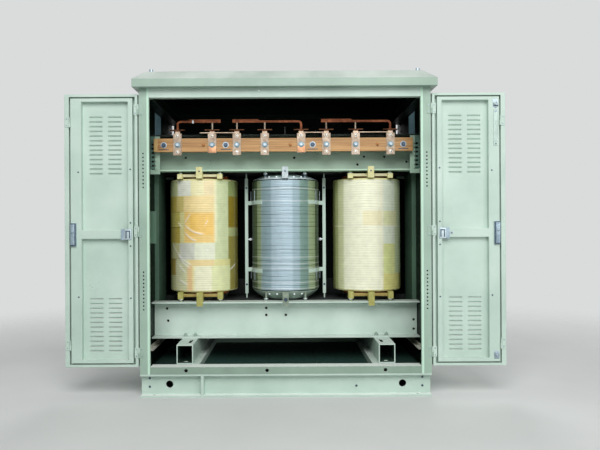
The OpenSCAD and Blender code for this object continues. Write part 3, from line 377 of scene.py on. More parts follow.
def grained(name, stops, stretch_mm, rough, coat=0.0, middle=None):
    """Layered sheet or moulding: streaks as long and as fine as the layers, under varnish if it has any.
    The middle coil's pieces may have their own stops."""
    material, tree, place = start(name)
    scale = tuple(per(mm) for mm in stretch_mm)
    lay = add(tree, "ShaderNodeMapping", {"Vector": place, "Scale": scale})
    streak = add(tree, "ShaderNodeTexNoise", {"Vector": lay.outputs["Vector"], "Scale": 1.0, "Detail": 5.0,
                                              "Roughness": 0.6, "Distortion": 0.3})
    colour = add(tree, "ShaderNodeValToRGB", {"Fac": streak.outputs["Fac"]}, stops).outputs["Color"]
    if middle:
        across = add(tree, "ShaderNodeSeparateXYZ", {"Vector": place})
        side = add(tree, "ShaderNodeMath", {0: across.outputs["X"]}, operation="ABSOLUTE")
        inner = add(tree, "ShaderNodeMath", {0: side.outputs["Value"], 1: 0.3}, operation="LESS_THAN")
        other = add(tree, "ShaderNodeValToRGB", {"Fac": streak.outputs["Fac"]}, middle)
        colour = add(tree, "ShaderNodeMix", {0: inner.outputs["Value"], 6: colour, 7: other.outputs["Color"]},
                     data_type="RGBA").outputs["Result"]
    gloss = add(tree, "ShaderNodeValToRGB", {"Fac": streak.outputs["Fac"]}, [(0.3, rough), (0.7, rough + 0.15)])
    bump = add(tree, "ShaderNodeBump", {"Strength": 0.25, "Distance": 0.0005, "Height": streak.outputs["Fac"]})
    end(tree, Base_Color=colour, Roughness=gloss.outputs["Color"], Coat_Weight=coat,
        Coat_Roughness=0.2, Normal=bump.outputs["Normal"])
    return material


def wrapped(name, rough, metallic=0.0, coat=0.3):
    """Insulating film wound over turns: the wrap's own tints with painted shade and highlights, cloudy where air
    lies under the film.
    """
    material, tree, place = start(name)
    tint = add(tree, "ShaderNodeAttribute", attribute_name="tint")
    air = add(tree, "ShaderNodeTexNoise", {"Vector": place, "Scale": per(45), "Detail": 5.0})
    cloudy = add(tree, "ShaderNodeValToRGB", {"Fac": air.outputs["Fac"]}, [(0.3, 0.88), (0.7, 1.0)])
    colour = add(tree, "ShaderNodeMix", {0: 1.0, 6: tint.outputs["Color"], 7: cloudy.outputs["Color"]},
                 data_type="RGBA", blend_type="MULTIPLY")
    gloss = add(tree, "ShaderNodeValToRGB", {"Fac": air.outputs["Fac"]}, [(0.3, rough), (0.7, rough + 0.2)])
    crease = add(tree, "ShaderNodeTexNoise", {"Vector": place, "Scale": per(14), "Detail": 3.0})
    bump = add(tree, "ShaderNodeBump", {"Strength": 0.2, "Distance": 0.0012, "Height": crease.outputs["Fac"]})
    end(tree, Base_Color=colour.outputs["Result"], Metallic=metallic, Roughness=gloss.outputs["Color"],
        Coat_Weight=coat, Coat_Roughness=0.15, Normal=bump.outputs["Normal"])
    return material


# Tones of the sage enamel: light, middle, shade, and the primer under its chips
SAGE = ("#C6D9CE", "#BED3C7", "#B5CBBF", "#8E9C93")
DEEPER = ("#A4BDAD", "#9BB4A4", "#92AB9B", "#7F8E85")
WALL = ("#9FB6A7", "#96AD9E", "#8DA495", "#7F8E85")
# Tones of faces in painted shade: the dark inside of the cabinet, and the dark inside of a tube
INSIDE_SHADE = ("#0C1710", "#15231A")
TUBE_SHADE = ("#22352D", "#2E443B")
# Flanges that face up, paler: painted light from above
TOP_LIGHT = dict(painted_tone=("#EAF4EE", "#F2F9F5"), middle=(0, 0, 0.3), across=(0, 0, 1))
DULL = (0.5, 0.65)

# Sage enamel, baked on: smooth, half gloss, slightly bluish green; the frame's coat is a shade deeper, with a
# paler tone along its inner fold that is painted light
sage = painted("sage_enamel_baked", *SAGE)
frame_sage = painted("sage_enamel_frame", *DEEPER, painted_tone=("#BFDFCB", "#C9E9D5"), across=(0, 0, 0), inside=0.933)
# Door sheets: the hollows of the louvres are given a pale tone, painted light standing in for the light of the
# ground shining up into them
pan_sage = painted("sage_enamel_louvred", *SAGE, painted_tone=("#D2EEDD", "#DCF6E6"), middle=(0, -0.5761, 0),
                   across=(0, 1, 0))
# Bolts painted over with the clamps: a darker tone of the sage, painted shade on the small heads, paler where
# they face up
dim_bolt = painted("sage_enamel_on_bolts", "#9DB5A6", "#8FA899", "#7F988A", "#6E7C74", wear_and_highlight=0.3, dust="#A9BBAF")
# Sill and base channel: the sill's face a darker tone, and the flanges that face up on both paler, painted light
# from above; the lower clamp a paler copy of the sage, painted light
sill_sage = painted("sage_enamel_darker_sill", "#95AC9C", "#8BA192", "#809687", "#6E7C73", **TOP_LIGHT)
base_sage = painted("sage_enamel_on_base", "#C2D6CA", "#BACFC3", "#B1C7BB", "#8E9C93", **TOP_LIGHT)
clamp_sage = painted("sage_enamel_paler_channel", "#D3E4DA", "#CADDD2", "#BFD3C7", "#8E9C93")
# Side channels, upper clamp, walls, roof, headers and rear: sage outside; where they look in, painted shade down
# to nearly black
side_base_sage = painted("sage_enamel_shaded_top", *SAGE, painted_tone=INSIDE_SHADE, across=(0, 0, 0), above=0.1545)
# The upper clamp: painted shade on its flanges' inner faces and on all above its top edge
upper_sage = painted("sage_enamel_shaded_flange", "#BAD9C0", "#B1D0B7", "#A8C7AE", "#7F8E85", painted_tone=INSIDE_SHADE,
                     middle=(0, 0, 1.74), across=(0, 0, 1), above=1.805)
wall_sage = painted("sage_enamel_shaded_inside", *WALL, wear_and_highlight=0.25, dust="#EEF1EF", painted_tone=INSIDE_SHADE)
# The roof: dark green painted shade under it; its pale dust on the slope is partly painted light from above
roof_sage = painted("sage_enamel_roof_shaded_under", *WALL, wear_and_highlight=0.25, dust="#EEF1EF", painted_tone=("#16261D", "#203428"),
                    middle=(0, 0, 2.0875))
header_sage = painted("sage_enamel_shaded_under", *DEEPER, painted_tone=INSIDE_SHADE)
# The rear sill keeps about its own tone where it looks in, with little gloss
rear_sage = painted("sage_enamel_dim_inside", "#A8BFB0", "#9FB6A7", "#96AD9E", "#7F8E85", dust="#93A497",
                    painted_tone=("#9DB8A6", "#AAC4B3"))
# Skid tubes: sage outside, dark in the hollow as painted shade
left_tube, right_tube = [
    painted(f"sage_enamel_{side}_tube", *SAGE, painted_tone=TUBE_SHADE, middle=(x, 0, SKID_MID), across=(1, 0, 1))
    for side, x in (("left", -SKID_X), ("right", SKID_X))]
# Coats inside the cabinet, with little gloss: dark tones of the sage, painted shade of the dark inside; the
# brackets paler below one height and towards the middle, painted light
dim_sage = painted("sage_enamel_dim", "#53755F", "#4A6A56", "#42604D", "#39463F", DULL, 0.4, "#5C7465")
bracket_sage = painted("sage_enamel_bracket_shade", "#5F8274", "#557869", "#4B6D5F", "#4A5A50", DULL, 0.5,
                       painted_tone=("#A2C0AA", "#B2D0BA"), across=(0, 0, 0), under=1.571, inside=0.948)
black_sage = painted("sage_enamel_black_shade", "#1B2620", "#151E19", "#101713", "#26322B", DULL, 0.2, "#1D2823")
floor_paint = painted("floor_enamel_dark_shade", "#21423A", "#1C3932", "#172F29", "#26362F", DULL, 0.3, "#203D35")
# Primer brushed on: chalky and uneven
primer = painted("pale_primer_brushed", "#EAE8DA", "#E0DDCC", "#CFCBB8", "#8A8672", (0.5, 0.7))
# Zinc: bluish crystals, satin; fasteners brighter, latches, clips and grilles duller, oiled ones dark
zinc = plated("zinc_plated_steel", "#B4C0C8", "#8C9AA4", 9, 0.4)
bright = plated("bright_zinc_fastener", "#EEF2F5", "#CFD8DE", 5, 0.36)
latch_zinc = plated("zinc_plated_latch", "#A3B3AC", "#93A39C", 9, 0.45, (1.4, "#A6B6C0", "#82949F"))
clip_zinc = plated("zinc_plated_clip", "#BCCACC", "#A6B5B8", 5, 0.45)
vent_zinc = plated("zinc_plated_grille_dulled", "#7C98A0", "#5A7780", 9, 0.5)
dark_steel = plated("oiled_dark_steel", "#5F6E7E", "#39434E", 6, 0.4)
# Tin over copper: pinkish grey, blotched, white on rivet heads; bare copper darkens brown
tinned = plated("tinned_copper_bar_rolled", "#A79888", "#807061", 16, 0.42)
rivet = plated("tinned_rivet_head", "#F0EAE1", "#D8CFC4", 5, 0.4)
bare_copper = plated("copper_lug_bare", "#C79A78", "#A87A5A", 14, 0.42)
lug_copper = plated("copper_plate_browned", "#6E4A36", "#432C20", 14, 0.42, (1.838, "#C9B7A4", "#9A8672"))
copper = plated("copper_bar_darkened", "#7A4A34", "#48291D", 22, 0.34)
# Electrical steel in stacks: layers drawn 5 mm thick, as finer ones wouldn't show
core_sheet = grained("electrical_steel_varnished", [(0.3, "#171A1B"), (0.7, "#242829")], (600, 5, 600), 0.7)
# Paper tube: brown, varnished, wound in thin layers
paper_tube = grained("paper_tube_varnished", [(0.3, "#8C3F14"), (0.55, "#B25A20"), (0.8, "#C8742E")],
                     (60, 60, 4), 0.35, 0.4)
# Glass-filled moulding: cloudy yellow, grey-blue at the middle coil; under the coils browner and darker, partly
# real browning and partly painted shade
block = grained("moulded_glass_polyester", [(0.3, "#CBC688"), (0.5, "#DAD69C"), (0.7, "#E5E2B2")],
                (24, 24, 24), 0.5, middle=[(0.3, "#A9B7BC"), (0.5, "#BFCCD0"), (0.75, "#DCE5E6")])
low_block = grained("moulded_glass_polyester_browned_shaded", [(0.3, "#97954C"), (0.5, "#A9A65C"), (0.7, "#BAB670")],
                    (24, 24, 24), 0.5, middle=[(0.3, "#6C7C70"), (0.5, "#82917F"), (0.75, "#9FAC9C")])
# Pressboard: pale and fibrous along the strip, the upper strips made paler as painted light against the clamp's
# shade; the lower strips darker brown, painted shade under the coils
pressboard = grained("pressboard_strip", [(0.3, "#E4DAAE"), (0.5, "#EFE7C0"), (0.7, "#F5EFD0")], (30, 6, 6), 0.6)
low_pressboard = grained("pressboard_strip_shaded", [(0.3, "#8C7434"), (0.5, "#A08848"), (0.7, "#B09A5C")],
                         (30, 6, 6), 0.5)
# Beech laminate: long streaks along the board, under thin varnish; its end strip and dowels show the other grain
laminate = grained("laminated_beech_varnished",
                   [(0.28, "#84562C"), (0.45, "#B0824C"), (0.6, "#C59860"), (0.78, "#D8B078")],
                   (420, 9, 7), 0.42, 0.2)
end_beech = grained("beech_end_strip", [(0.3, "#C09A5C"), (0.6, "#D4B478"), (0.8, "#E2C892")], (8, 8, 60), 0.5)
dowel = grained("beech_dowel_end", [(0.3, "#A8642E"), (0.6, "#CE8A4C"), (0.8, "#E2A869")], (4, 30, 4), 0.55)
# Film and foil wound on the coils: glossy, cloudy, with the wrap's tints and painted shade and highlights; the
# strip's turns shine a little
film_wrap = wrapped("polyester_film_wrap", 0.3)
foil_wrap = wrapped("aluminium_strip_turns", 0.36, 0.2, 0.2)
# Glass cloth gathered at the middle coil's ends: whitish and soft; darker grey-green below, painted shade under
# the coil
film_cone = grained("glass_cloth_film", [(0.3, "#BCCDD4"), (0.5, "#D0DFE5"), (0.75, "#E6F0F4")],
                    (40, 40, 25), 0.4, 0.2)
film_skirt = grained("glass_cloth_film_shaded", [(0.3, "#6E8276"), (0.5, "#84978B"), (0.75, "#A3B4AA")],
                     (40, 40, 25), 0.5, 0.1)

FINISH = {
    "sage_paint": sage, "bare_angle": primer, "zinc": zinc, "core_steel": core_sheet, "winding_tube": paper_tube,
    "film": block, "foil": foil_wrap, "block": block, "laminate": laminate, "tinned_copper": tinned,
    "copper": copper,
}
OWN_FINISH = {
    **dict.fromkeys(["front_left_post", "front_right_post", "left_post_hinges", "right_post_hinges"], frame_sage),
    **dict.fromkeys(["rear_left_post", "rear_right_post", "rear_header", "rear_panels", "left_side_panel",
                     "right_side_panel"], wall_sage),
    **dict.fromkeys(["lower_rear_clamp", "upper_rear_clamp"], black_sage),
    **dict.fromkeys(["left_door_latch", "right_door_latch"], latch_zinc),
    **dict.fromkeys(["left_door_pan", "right_door_pan"], pan_sage),
    **dict.fromkeys(["base_front_channel", "base_rear_channel"], base_sage),
    **dict.fromkeys(["side_stiffeners", "wall_plate"], dim_sage),
    "base_side_channels": side_base_sage, "floor_plate": floor_paint, "front_sill": sill_sage,
    "rear_sill": rear_sage, "roof": roof_sage, "side_headers": header_sage, "side_vents": vent_zinc,
    "left_skid": left_tube, "right_skid": right_tube, "lower_front_clamp": clamp_sage,
    "upper_front_clamp": upper_sage, "clamp_brackets": bracket_sage, "bottom_blocks": low_block,
    "strap_lugs": lug_copper, "jumper_pins": tinned,
}
slot_of = {part["node"]: part["material_slot"] for part in frame["record"]["subparts"]}
for name, node in frame["nodes"].items():
    node.data.materials.clear()
    node.data.materials.append(OWN_FINISH.get(name, FINISH[slot_of[name]]))


# Coils

def soft(value, low, high, width):
    """1 between low and high, falling to 0 over the width at each end."""
    return np.clip((value - low) / width + 0.5, 0, 1) * np.clip((high - value) / width + 0.5, 0, 1)


def coil_wrap(name, centre, base, turns, patches, creases, marks, material):
    """A coil's outside as a function of angle and height: radius = coil + turns + creases + marks.
    The turns are ridges whose spacing drifts, their grooves darkened as painted shade; each crease is a bowed
    line, lightened as a painted highlight; each mark a line all round, dark ones painted shade and bright ones
    painted highlights. Patches tint it, between two angles and two heights. Both ends turn in to the coil."""
    pitch, sharpness, groove_shade = turns
    angle = np.radians(np.arange(0, 360, 2.0))
    height = np.linspace(COIL_LOW + WRAP_INSET, COIL_HIGH - WRAP_INSET, 360)
    a, z = np.meshgrid(angle, height)
    # Angle from the nearer of front and rear, so that the rear repeats the front
    sweep = np.degrees(np.arcsin(np.clip(np.sin(a), -1, 1)))
    groove = (0.5 + 0.5 * np.cos(2 * np.pi * z / pitch + 1.3 * np.sin(z * 31)
                                 + 0.8 * np.sin(z * 83 + 1))) ** sharpness
    r = COIL_R + 0.0005 + 0.0011 * (1 - groove)
    tint = np.ones(a.shape + (3,)) * np.array(linear(base)[:3])
    for low_a, high_a, low_z, high_z, colour, cover in patches:
        share = (cover * soft(sweep, low_a, high_a, 2.0) * soft(z, low_z, high_z, 0.003))[..., None]
        tint = tint * (1 - share) + np.array(linear(colour)[:3]) * share
    # The grooves between turns darkened: painted shade
    tint = tint * (1 - groove_shade * groove[..., None])
    # Creases raised and lightened: the lightening is a painted highlight
    for from_a, to_a, from_z, to_z, bow in creases:
        t = (sweep - from_a) / (to_a - from_a)
        path = from_z + (to_z - from_z) * t + bow * 4 * t * (1 - t)
        line = np.exp(-((z - path) / 0.0065) ** 2) * soft(t, 0.05, 0.95, 0.2)
        r = r + 0.0028 * line
        tint = tint + 0.65 * line[..., None] * (0.94 - tint)
    # Marks: dark ones painted shade in the gaps, bright ones painted highlights
    for mark_z, width, tone in marks:
        line = np.exp(-((z - mark_z - 0.0015 * np.sin(4 * a + 40 * mark_z)) / width) ** 2)
        r = r + 0.0009 * np.sign(tone) * line
        tint = tint + (tone * line)[..., None] * (tint if tone < 0 else 0.95 - tint)
    points = np.stack([centre + r * np.sin(a), -r * np.cos(a), z], axis=-1)
    ends = np.stack([centre + WRAP_END_R * np.sin(angle), -WRAP_END_R * np.cos(angle), 0 * angle], axis=-1)
    points = np.concatenate([ends[None] + [0, 0, height[0]], points, ends[None] + [0, 0, height[-1]]])
    tint = np.concatenate([tint[:1], tint, tint[-1:]])
    thing = piece(name, "cabinet", [grid(points, True)], material, 60)
    shade = thing.data.color_attributes.new("tint", "FLOAT_COLOR", "POINT")
    shade.data.foreach_set("color", np.concatenate([tint, np.ones(tint.shape[:2] + (1,))], -1).ravel())


# Layers and tapes of film: from and to an angle, from and to a height, tint, share of the tint. Towards the sides
# the patches are darker, partly the film's own colour and partly painted shade, and the outermost ones are painted
# shade only; the thin dark lines along the tapes' edges are painted shade
left_patches = [
    (-95, -62, 0.60, 1.50, "#8F8A34", 0.9), (51, 95, 0.60, 1.50, "#8A8128", 0.9),
    (-95, -42, 1.379, 1.50, "#BFCB96", 0.85), (-42, -15, 1.379, 1.50, "#EEF3E6", 0.9),
    (-15, 7, 1.379, 1.50, "#F6F0BE", 0.9), (7, 24, 1.379, 1.50, "#F4E2B2", 0.9),
    (51, 95, 1.379, 1.50, "#9CAE72", 0.85), (-70, -44, 1.261, 1.379, "#BBA83E", 0.9),
    (-44, -28, 1.261, 1.379, "#D3C270", 0.85), (-28, 24, 1.261, 1.379, "#F8E0A0", 0.9),
    (51, 95, 1.146, 1.379, "#94801C", 0.85), (-68, -37, 1.146, 1.261, "#C8BC54", 0.85),
    (-37, -27, 1.031, 1.261, "#E2DD9A", 0.85), (-27, 25, 1.037, 1.261, "#F6D07A", 0.9),
    (-17, 22, 1.09, 1.245, "#F5C75E", 0.7), (-68, -37, 1.031, 1.146, "#BBA840", 0.9),
    (51, 95, 1.08, 1.146, "#B9C48C", 0.85), (-66, -38, 0.91, 1.031, "#C9CB96", 0.85),
    (-38, -9, 0.91, 1.031, "#D6DAD0", 0.9), (-9, 25, 0.91, 1.031, "#EAF0D8", 0.9),
    (25, 51, 0.91, 1.50, "#D3DFB0", 0.9), (24, 28, 1.04, 1.50, "#F4F0C4", 0.9),
    (-70, -48, 0.79, 0.91, "#A8902C", 0.85), (-48, -22, 0.60, 0.91, "#D9DDB4", 0.85),
    (-95, -48, 0.60, 0.79, "#C9CE9A", 0.8), (-18, 24, 0.864, 0.91, "#F0D89A", 0.9),
    (24, 55, 0.864, 0.91, "#E2DE98", 0.9), (-22, -12, 0.60, 0.864, "#F0CD96", 0.9),
    (-12, -9, 0.60, 0.864, "#F4EDB2", 0.9), (-9, 19, 0.60, 0.864, "#F1F2D2", 0.9),
    (19, 55, 0.60, 0.864, "#E4EAB4", 0.9), (-66, -34, 1.258, 1.264, "#8E8A3C", 0.6),
    (-95, -36, 1.143, 1.149, "#4E4C1C", 0.8), (-72, -46, 0.907, 0.913, "#6B6428", 0.7),
    (-95, -70, 0.60, 1.52, "#5C581E", 0.5), (70, 95, 0.60, 1.52, "#5C581E", 0.5),
]
# Creases of the film, lightened as painted highlights: from and to an angle, from and to a height, bow
left_creases = [
    (-27, -15, 1.179, 1.251, 0.0), (-28, 7, 1.172, 1.099, -0.02), (-27, -6, 1.113, 1.048, -0.01),
    (8, 13, 1.159, 1.199, 0.0), (-60, -34, 1.028, 0.923, 0.0), (-44, -14, 0.943, 0.867, 0.0),
    (-37, -17, 0.910, 0.844, 0.0), (-40, -25, 0.871, 0.812, 0.0), (-38, -22, 0.759, 0.723, 0.0),
    (10, 14, 0.956, 0.995, 0.0), (-42, -32, 1.186, 1.146, 0.0), (55, 72, 0.831, 0.871, 0.0),
]
# Right coil: the dark patches at the far sides are painted shade; the patches right of the front are made paler,
# painted light against the shade on that side; the two thin pale lines are painted highlights
right_patches = [
    (-95, -62, 0.60, 1.50, "#9AA452", 0.85), (-62, -48, 0.60, 1.50, "#C9CF94", 0.7),
    (20.4, 47, 0.60, 1.50, "#E8F2DC", 0.9), (47, 95, 0.60, 1.50, "#CEDDB0", 0.9),
    (-13, 20.4, 1.156, 1.262, "#F5EDBE", 0.8), (20.4, 52, 1.156, 1.262, "#E8EAB2", 0.85),
    (20.4, 47, 0.80, 1.021, "#E8EE9E", 0.9), (47, 80, 0.80, 1.021, "#D8E6B6", 0.8),
    (20.4, 63, 0.60, 0.80, "#EAE48A", 0.9), (63, 95, 0.60, 0.80, "#B4A848", 0.85),
    (-80, 75, 1.149, 1.154, "#FAF8E2", 0.8), (19, 21.6, 0.60, 1.50, "#FBF8E0", 0.7),
    (-95, -72, 0.60, 1.52, "#5C6428", 0.5), (72, 95, 0.60, 1.52, "#5C6428", 0.5),
]
# Middle coil: the green patches at the sides are a painted reflection of the green cabinet, darkest at the edges
# as painted shade
middle_patches = [
    (-95, -55, 0.60, 1.50, "#566A3E", 0.95), (-95, -66, 0.60, 1.50, "#2A3A1E", 0.9),
    (-55, -44, 0.60, 1.50, "#9CAE88", 0.95), (-44, -24, 0.60, 1.50, "#93AEB6", 0.9),
    (12, 24, 0.60, 1.50, "#98B2BA", 0.9), (24, 42, 0.60, 1.50, "#7E9E94", 0.95),
    (42, 61, 0.60, 1.50, "#A4B88E", 0.95), (61, 95, 0.60, 1.50, "#48592F", 0.95),
]
# Turns that stand out, dark gaps in painted shade and bright edges as painted highlights: height, half width, tone
middle_marks = [
    *[(z, 0.0035, -0.4) for z in (1.444, 1.421, 1.298, 1.2415, 1.182, 1.152, 0.979, 0.896, 0.823, 0.753)],
    *[(z, 0.003, -0.22) for z in (1.385, 1.36, 1.265, 1.21, 1.10, 1.06, 1.01, 0.95, 0.86, 0.785, 0.715)],
    *[(z, 0.003, 0.4) for z in (1.432, 1.34, 0.922, 0.876, 0.8425, 0.736, 0.693)],
]
coil_wrap("left_coil_wrap", -COIL_X, "#EDE6B0", (0.0155, 3, 0.05), left_patches, left_creases, [],
          film_wrap)
coil_wrap("right_coil_wrap", COIL_X, "#F9FADD", (0.0175, 2, 0.09), right_patches, [], [], film_wrap)
coil_wrap("middle_coil_wrap", 0.0, "#B2C9D4", (0.0115, 3, 0.22), middle_patches, [], middle_marks,
          foil_wrap)


def film_shoulder(low, high):
    """Film gathered from the coil's edge to its core: a cone whose radius ripples with the angle."""
    angle = np.radians(np.arange(0, 360, 3.0))
    t = np.linspace(0, 1, 10)[:, None]
    ripple = 0.0025 * np.sin(9 * angle) + 0.0018 * np.sin(23 * angle + 1)
    r = FILM_EDGE_R + (FILM_CORE_R - FILM_EDGE_R) * t + ripple * np.sin(np.pi * t)
    z = low + (high - low) * t ** 0.8 + 0 * angle
    points = np.stack([r * np.sin(angle), -r * np.cos(angle), z], axis=-1)
    shape, faces = grid(points, True)
    return shape, faces if high > low else [f[:, ::-1] for f in faces]


for name, low, high, film in (("middle_coil_shoulder", COIL_HIGH - 0.004, SHOULDER_TOP, film_cone),
                              ("middle_coil_skirt", COIL_LOW + 0.004, SKIRT_FOOT, film_skirt)):
    wall = piece(name, "cabinet", [film_shoulder(low, high)], film, 60).modifiers.new("film", "SOLIDIFY")
    wall.thickness = 0.001

# Small clips that hold the film to the middle coil, on the shoulders' front and rear
clip_x = np.array([-0.119, -0.063, 0.0, 0.063, 0.119])
clips = [at(plate(0.014, 0.012, 0.006, 0.002),
            np.stack([clip_x, -np.sqrt(r ** 2 - clip_x ** 2), 0 * clip_x + z], -1), FRONT)
         for r, z in ((0.226, 1.518), (0.234, 0.652))]
piece("film_clips", "cabinet", [both_ways(joined(clips), 1)], bright)

# Coil blocks: domed nuts on the jack bolts over and under each coil, strips on the bridges of the outer coils
jacks = [(c + s * JACK_X, y * (OUTER_JACK_Y if c else MIDDLE_JACK_Y))
         for c in COILS for s in (-1, 1) for y in (-1, 1)]
nut = dome_bolt(0.015, 0.018)
piece("jack_nuts", "cabinet", [at(nut, [(x, y, JACK_TOP) for x, y in jacks]),
                               at(nut, [(x, y, JACK_FOOT) for x, y in jacks], DOWN)], bright)
for name, z, board in (("bridge_strips", 1.5295, pressboard), ("low_bridge_strips", 0.6455, low_pressboard)):
    strips = at(plate(0.25, 0.016, 0.002, 0.002), [(s * COIL_X, BRIDGE_FRONT, z) for s in (-1, 1)], FRONT)
    piece(name, "cabinet", [both_ways(strips, 1)], board)
tab_marks = joined([
    at(pan_screw(0.006), [(c, TAB_FRONT, 1.556) for c in COILS], FRONT),
    at(hex_bolt(0.011, 0.014), [(0, TAB_FRONT, 0.617)], FRONT),
    at(hex_bolt(0.014, 0.016), [(s * JACK_X, -MIDDLE_JACK_Y, 1.522) for s in (-1, 1)]),
])
piece("tab_bolts", "cabinet", [both_ways(tab_marks, 1)], dark_steel)

# Tie bars: guide rods at the bands, a bolt through each end and one from the bar to the coil
guides = joined([rod((r * math.sin(t), -r * math.cos(t), low), (r * math.sin(t), -r * math.cos(t), high), 0.0025)
                 for r, t in ((0.2625, math.radians(62)), (0.2655, math.radians(90)))
                 for low, high in ((BAND_Z[1] - 0.01, 1.424), (0.749, BAND_Z[0] + 0.01))])
piece("tie_guides", "cabinet", [both_ways(guides)], zinc)
tie_ends = at(pan_screw(0.008), [(TIE_X, TIE_FRONT, z) for z in TIE_ENDS], FRONT)
piece("tie_end_bolts", "cabinet", [both_ways(both_ways(tie_ends, 1))], dark_steel)
stay = joined([rod((0.258, 0, STAY_Z), (TIE_X - 0.011, 0, STAY_Z), 0.006),
               at(dome_bolt(0.008, 0.010), [(0.27, TIE_FRONT, STAY_Z)], FRONT)])
piece("tie_stays", "cabinet", [both_ways(stay)], bright)

# Terminals: domes above and below, a hex bolt through each strap, and the board's own fixings
tops = [(x, STRAP_FRONT, STRAP_TOP) for x in STRAP_X]
feet = [(STRAP_X[i], STRAP_FRONT, STRAP_FOOT) for i in LONG_STRAPS]
piece("strap_domes", "cabinet", [at(dome_bolt(0.011, 0.013), tops + feet, FRONT)], rivet)
piece("strap_washers", "cabinet", [at(washer(0.020), [(x, STRAP_FRONT, BOARD_MID) for x in STRAP_X], FRONT)],
      vent_zinc)
piece("strap_bolts", "cabinet",
      [at(hex_bolt(0.0125, 0.014), [(x, STRAP_FRONT - WASHER_T, BOARD_MID) for x in STRAP_X], FRONT)],
      zinc)
short_lugs = [(STRAP_X[i], STRAP_FRONT, SHORT_LUG_Z) for i in SHORT_STRAPS]
piece("short_strap_lugs", "cabinet", [at(plate(0.056, 0.046, 0.002, 0.002), short_lugs, FRONT)],
      bare_copper)
fixings = [(x, BOARD_FRONT, BOARD_MID) for x in STANDOFF_X]
piece("board_washers", "cabinet", [at(washer(0.022), fixings, FRONT)], zinc)
piece("board_bolts", "cabinet",
      [at(hex_bolt(0.014, 0.016), [(x, y - WASHER_T, z) for x, y, z in fixings], FRONT)], dark_steel)
# Thin dark strips under the board's fixings
piece("board_dark_strips", "cabinet",
      [at(plate(0.072, 0.005, 0.002, 0.001), [(x, BOARD_FRONT, DARK_STRIP_Z) for x in STANDOFF_X], FRONT)],
      dark_steel)
piece("board_end_strip", "cabinet",
      [at(plate(0.026, 0.094, 0.001, 0.0005), [(-0.932, BOARD_FRONT, BOARD_MID)], FRONT)],
      end_beech)
piece("board_pegs", "cabinet",
      [at(dome_bolt(0.0085, 0.009), [(c + 0.040, PEG_FRONT, BOARD_MID) for c in COILS], FRONT)],
      dowel)
piece("jumper_clip", "cabinet", [at(plate(0.013, 0.024, 0.014, 0.002), [(-0.664, -0.3115, 1.9105)], FRONT)],
      bright)

# Hinges and doors: screws through every leaf and along the stiles, latch covers, rod and roller fixings
leaf_screws, flap_screws, fold_screws = [
    [(x, LEAF_FRONT, z + s * LEAF_SCREW_Z) for z in heights for s in (-1, 1)]
    for x, heights in ((HINGE_X - LEAF_SCREW_X, HINGE_Z), (HINGE_X + LEAF_SCREW_X, HINGE_Z),
                       (FOLD_X + LEAF_SCREW_X, FOLD_Z))]
stile_rows = ((1.3965, (1.524, 0.680)), (1.0445, (1.542, 1.180, 1.024, 0.672)))
stile_screws = [(x, FRAME_FRONT, z) for x, heights in stile_rows for z in heights]
case_screws = [(COVER_X, COVER_FRONT, LATCH_Z + s * 0.064) for s in (-1, 1)]
post_row = at(pan_screw(0.0045), leaf_screws, FRONT)
door_row = at(pan_screw(0.0045), flap_screws + fold_screws, FRONT)
stile_row = at(pan_screw(0.0055), stile_screws, FRONT)
# A dark plate a little larger than the latch cover shows round its edge: painted shade of the cover
rim = at(plate(0.037, 0.154, 0.001, 0.0005), [(LATCH_X, CASE_FRONT, LATCH_Z)], FRONT)
cover = joined([at(plate(0.028, 0.139, 0.003, 0.003), [(COVER_X, CASE_FRONT, LATCH_Z)], FRONT),
                at(plate(0.026, 0.006, 0.002, 0.001), [(COVER_X, COVER_FRONT, 1.086)], FRONT),
                at(dome_bolt(0.009, 0.012), [(COVER_X, COVER_FRONT, 1.120)], FRONT),
                at(pan_screw(0.005), case_screws, FRONT)])
clip = at(plate(0.046, 0.070, 0.002, 0.004), [(CLIP_X, CLIP_FRONT, LATCH_Z)], FRONT)
# Dark strips on the clip's face in place of its slots: painted shade
slot_shade_strips = joined([
    at(plate(0.008, 0.052, 0.001, 0.001), [(CLIP_X + s * 0.012, CLIP_FACE, LATCH_Z) for s in (-1, 1)], FRONT),
    at(plate(0.015, 0.008, 0.001, 0.001), [(CLIP_X, CLIP_FACE, LATCH_Z + 0.022)], FRONT)])
piece("post_hinge_screws", "cabinet", [both_ways(post_row)], zinc)
fittings = [("hinge_screws", door_row, zinc), ("stile_screws", stile_row, dark_steel),
            ("latch_cover", cover, latch_zinc), ("latch_rim", rim, dark_steel), ("clip_face", clip, clip_zinc),
            ("clip_slots", slot_shade_strips, dark_steel)]
for name, shape, metal in fittings:
    piece("right_door_" + name, "right_door", [shape], metal)
for name, shape, metal in fittings:
    piece("left_door_" + name, "left_door", [mirrored(shape)], metal)
piece("right_door_rod_fixings", "right_door", [
    at(dome_bolt(0.006, 0.009), [(ROD_X, FRAME_FRONT - 0.012, z) for z in ROLLER_Z], FRONT),
    at(dome_bolt(0.006, 0.008), [(ROD_X, FRAME_FRONT, 1.950), (ROD_X, FRAME_FRONT - 0.004, 1.922)], FRONT),
    at(plate(0.036, 0.052, 0.003, 0.003), [(ROD_X, FRAME_FRONT, z) for z in ROLLER_Z], FRONT),
    at(plate(0.016, 0.016, 0.002, 0.002), [(BAR_SCREW_X, FRAME_FRONT, BAR_SCREW_Z)], FRONT),
], zinc)
piece("right_door_rod_bolts", "right_door", [
    at(pan_screw(0.005), [(ROD_X, FRAME_FRONT - 0.004, 1.702)], FRONT),
    at(plate(0.034, 0.008, 0.004, 0.002), [(ROD_X, FRAME_FRONT - 0.003, 1.960)], FRONT),
    at(pan_screw(0.004), [(BAR_SCREW_X, FRAME_FRONT - 0.002, BAR_SCREW_Z)], FRONT),
], dark_steel)

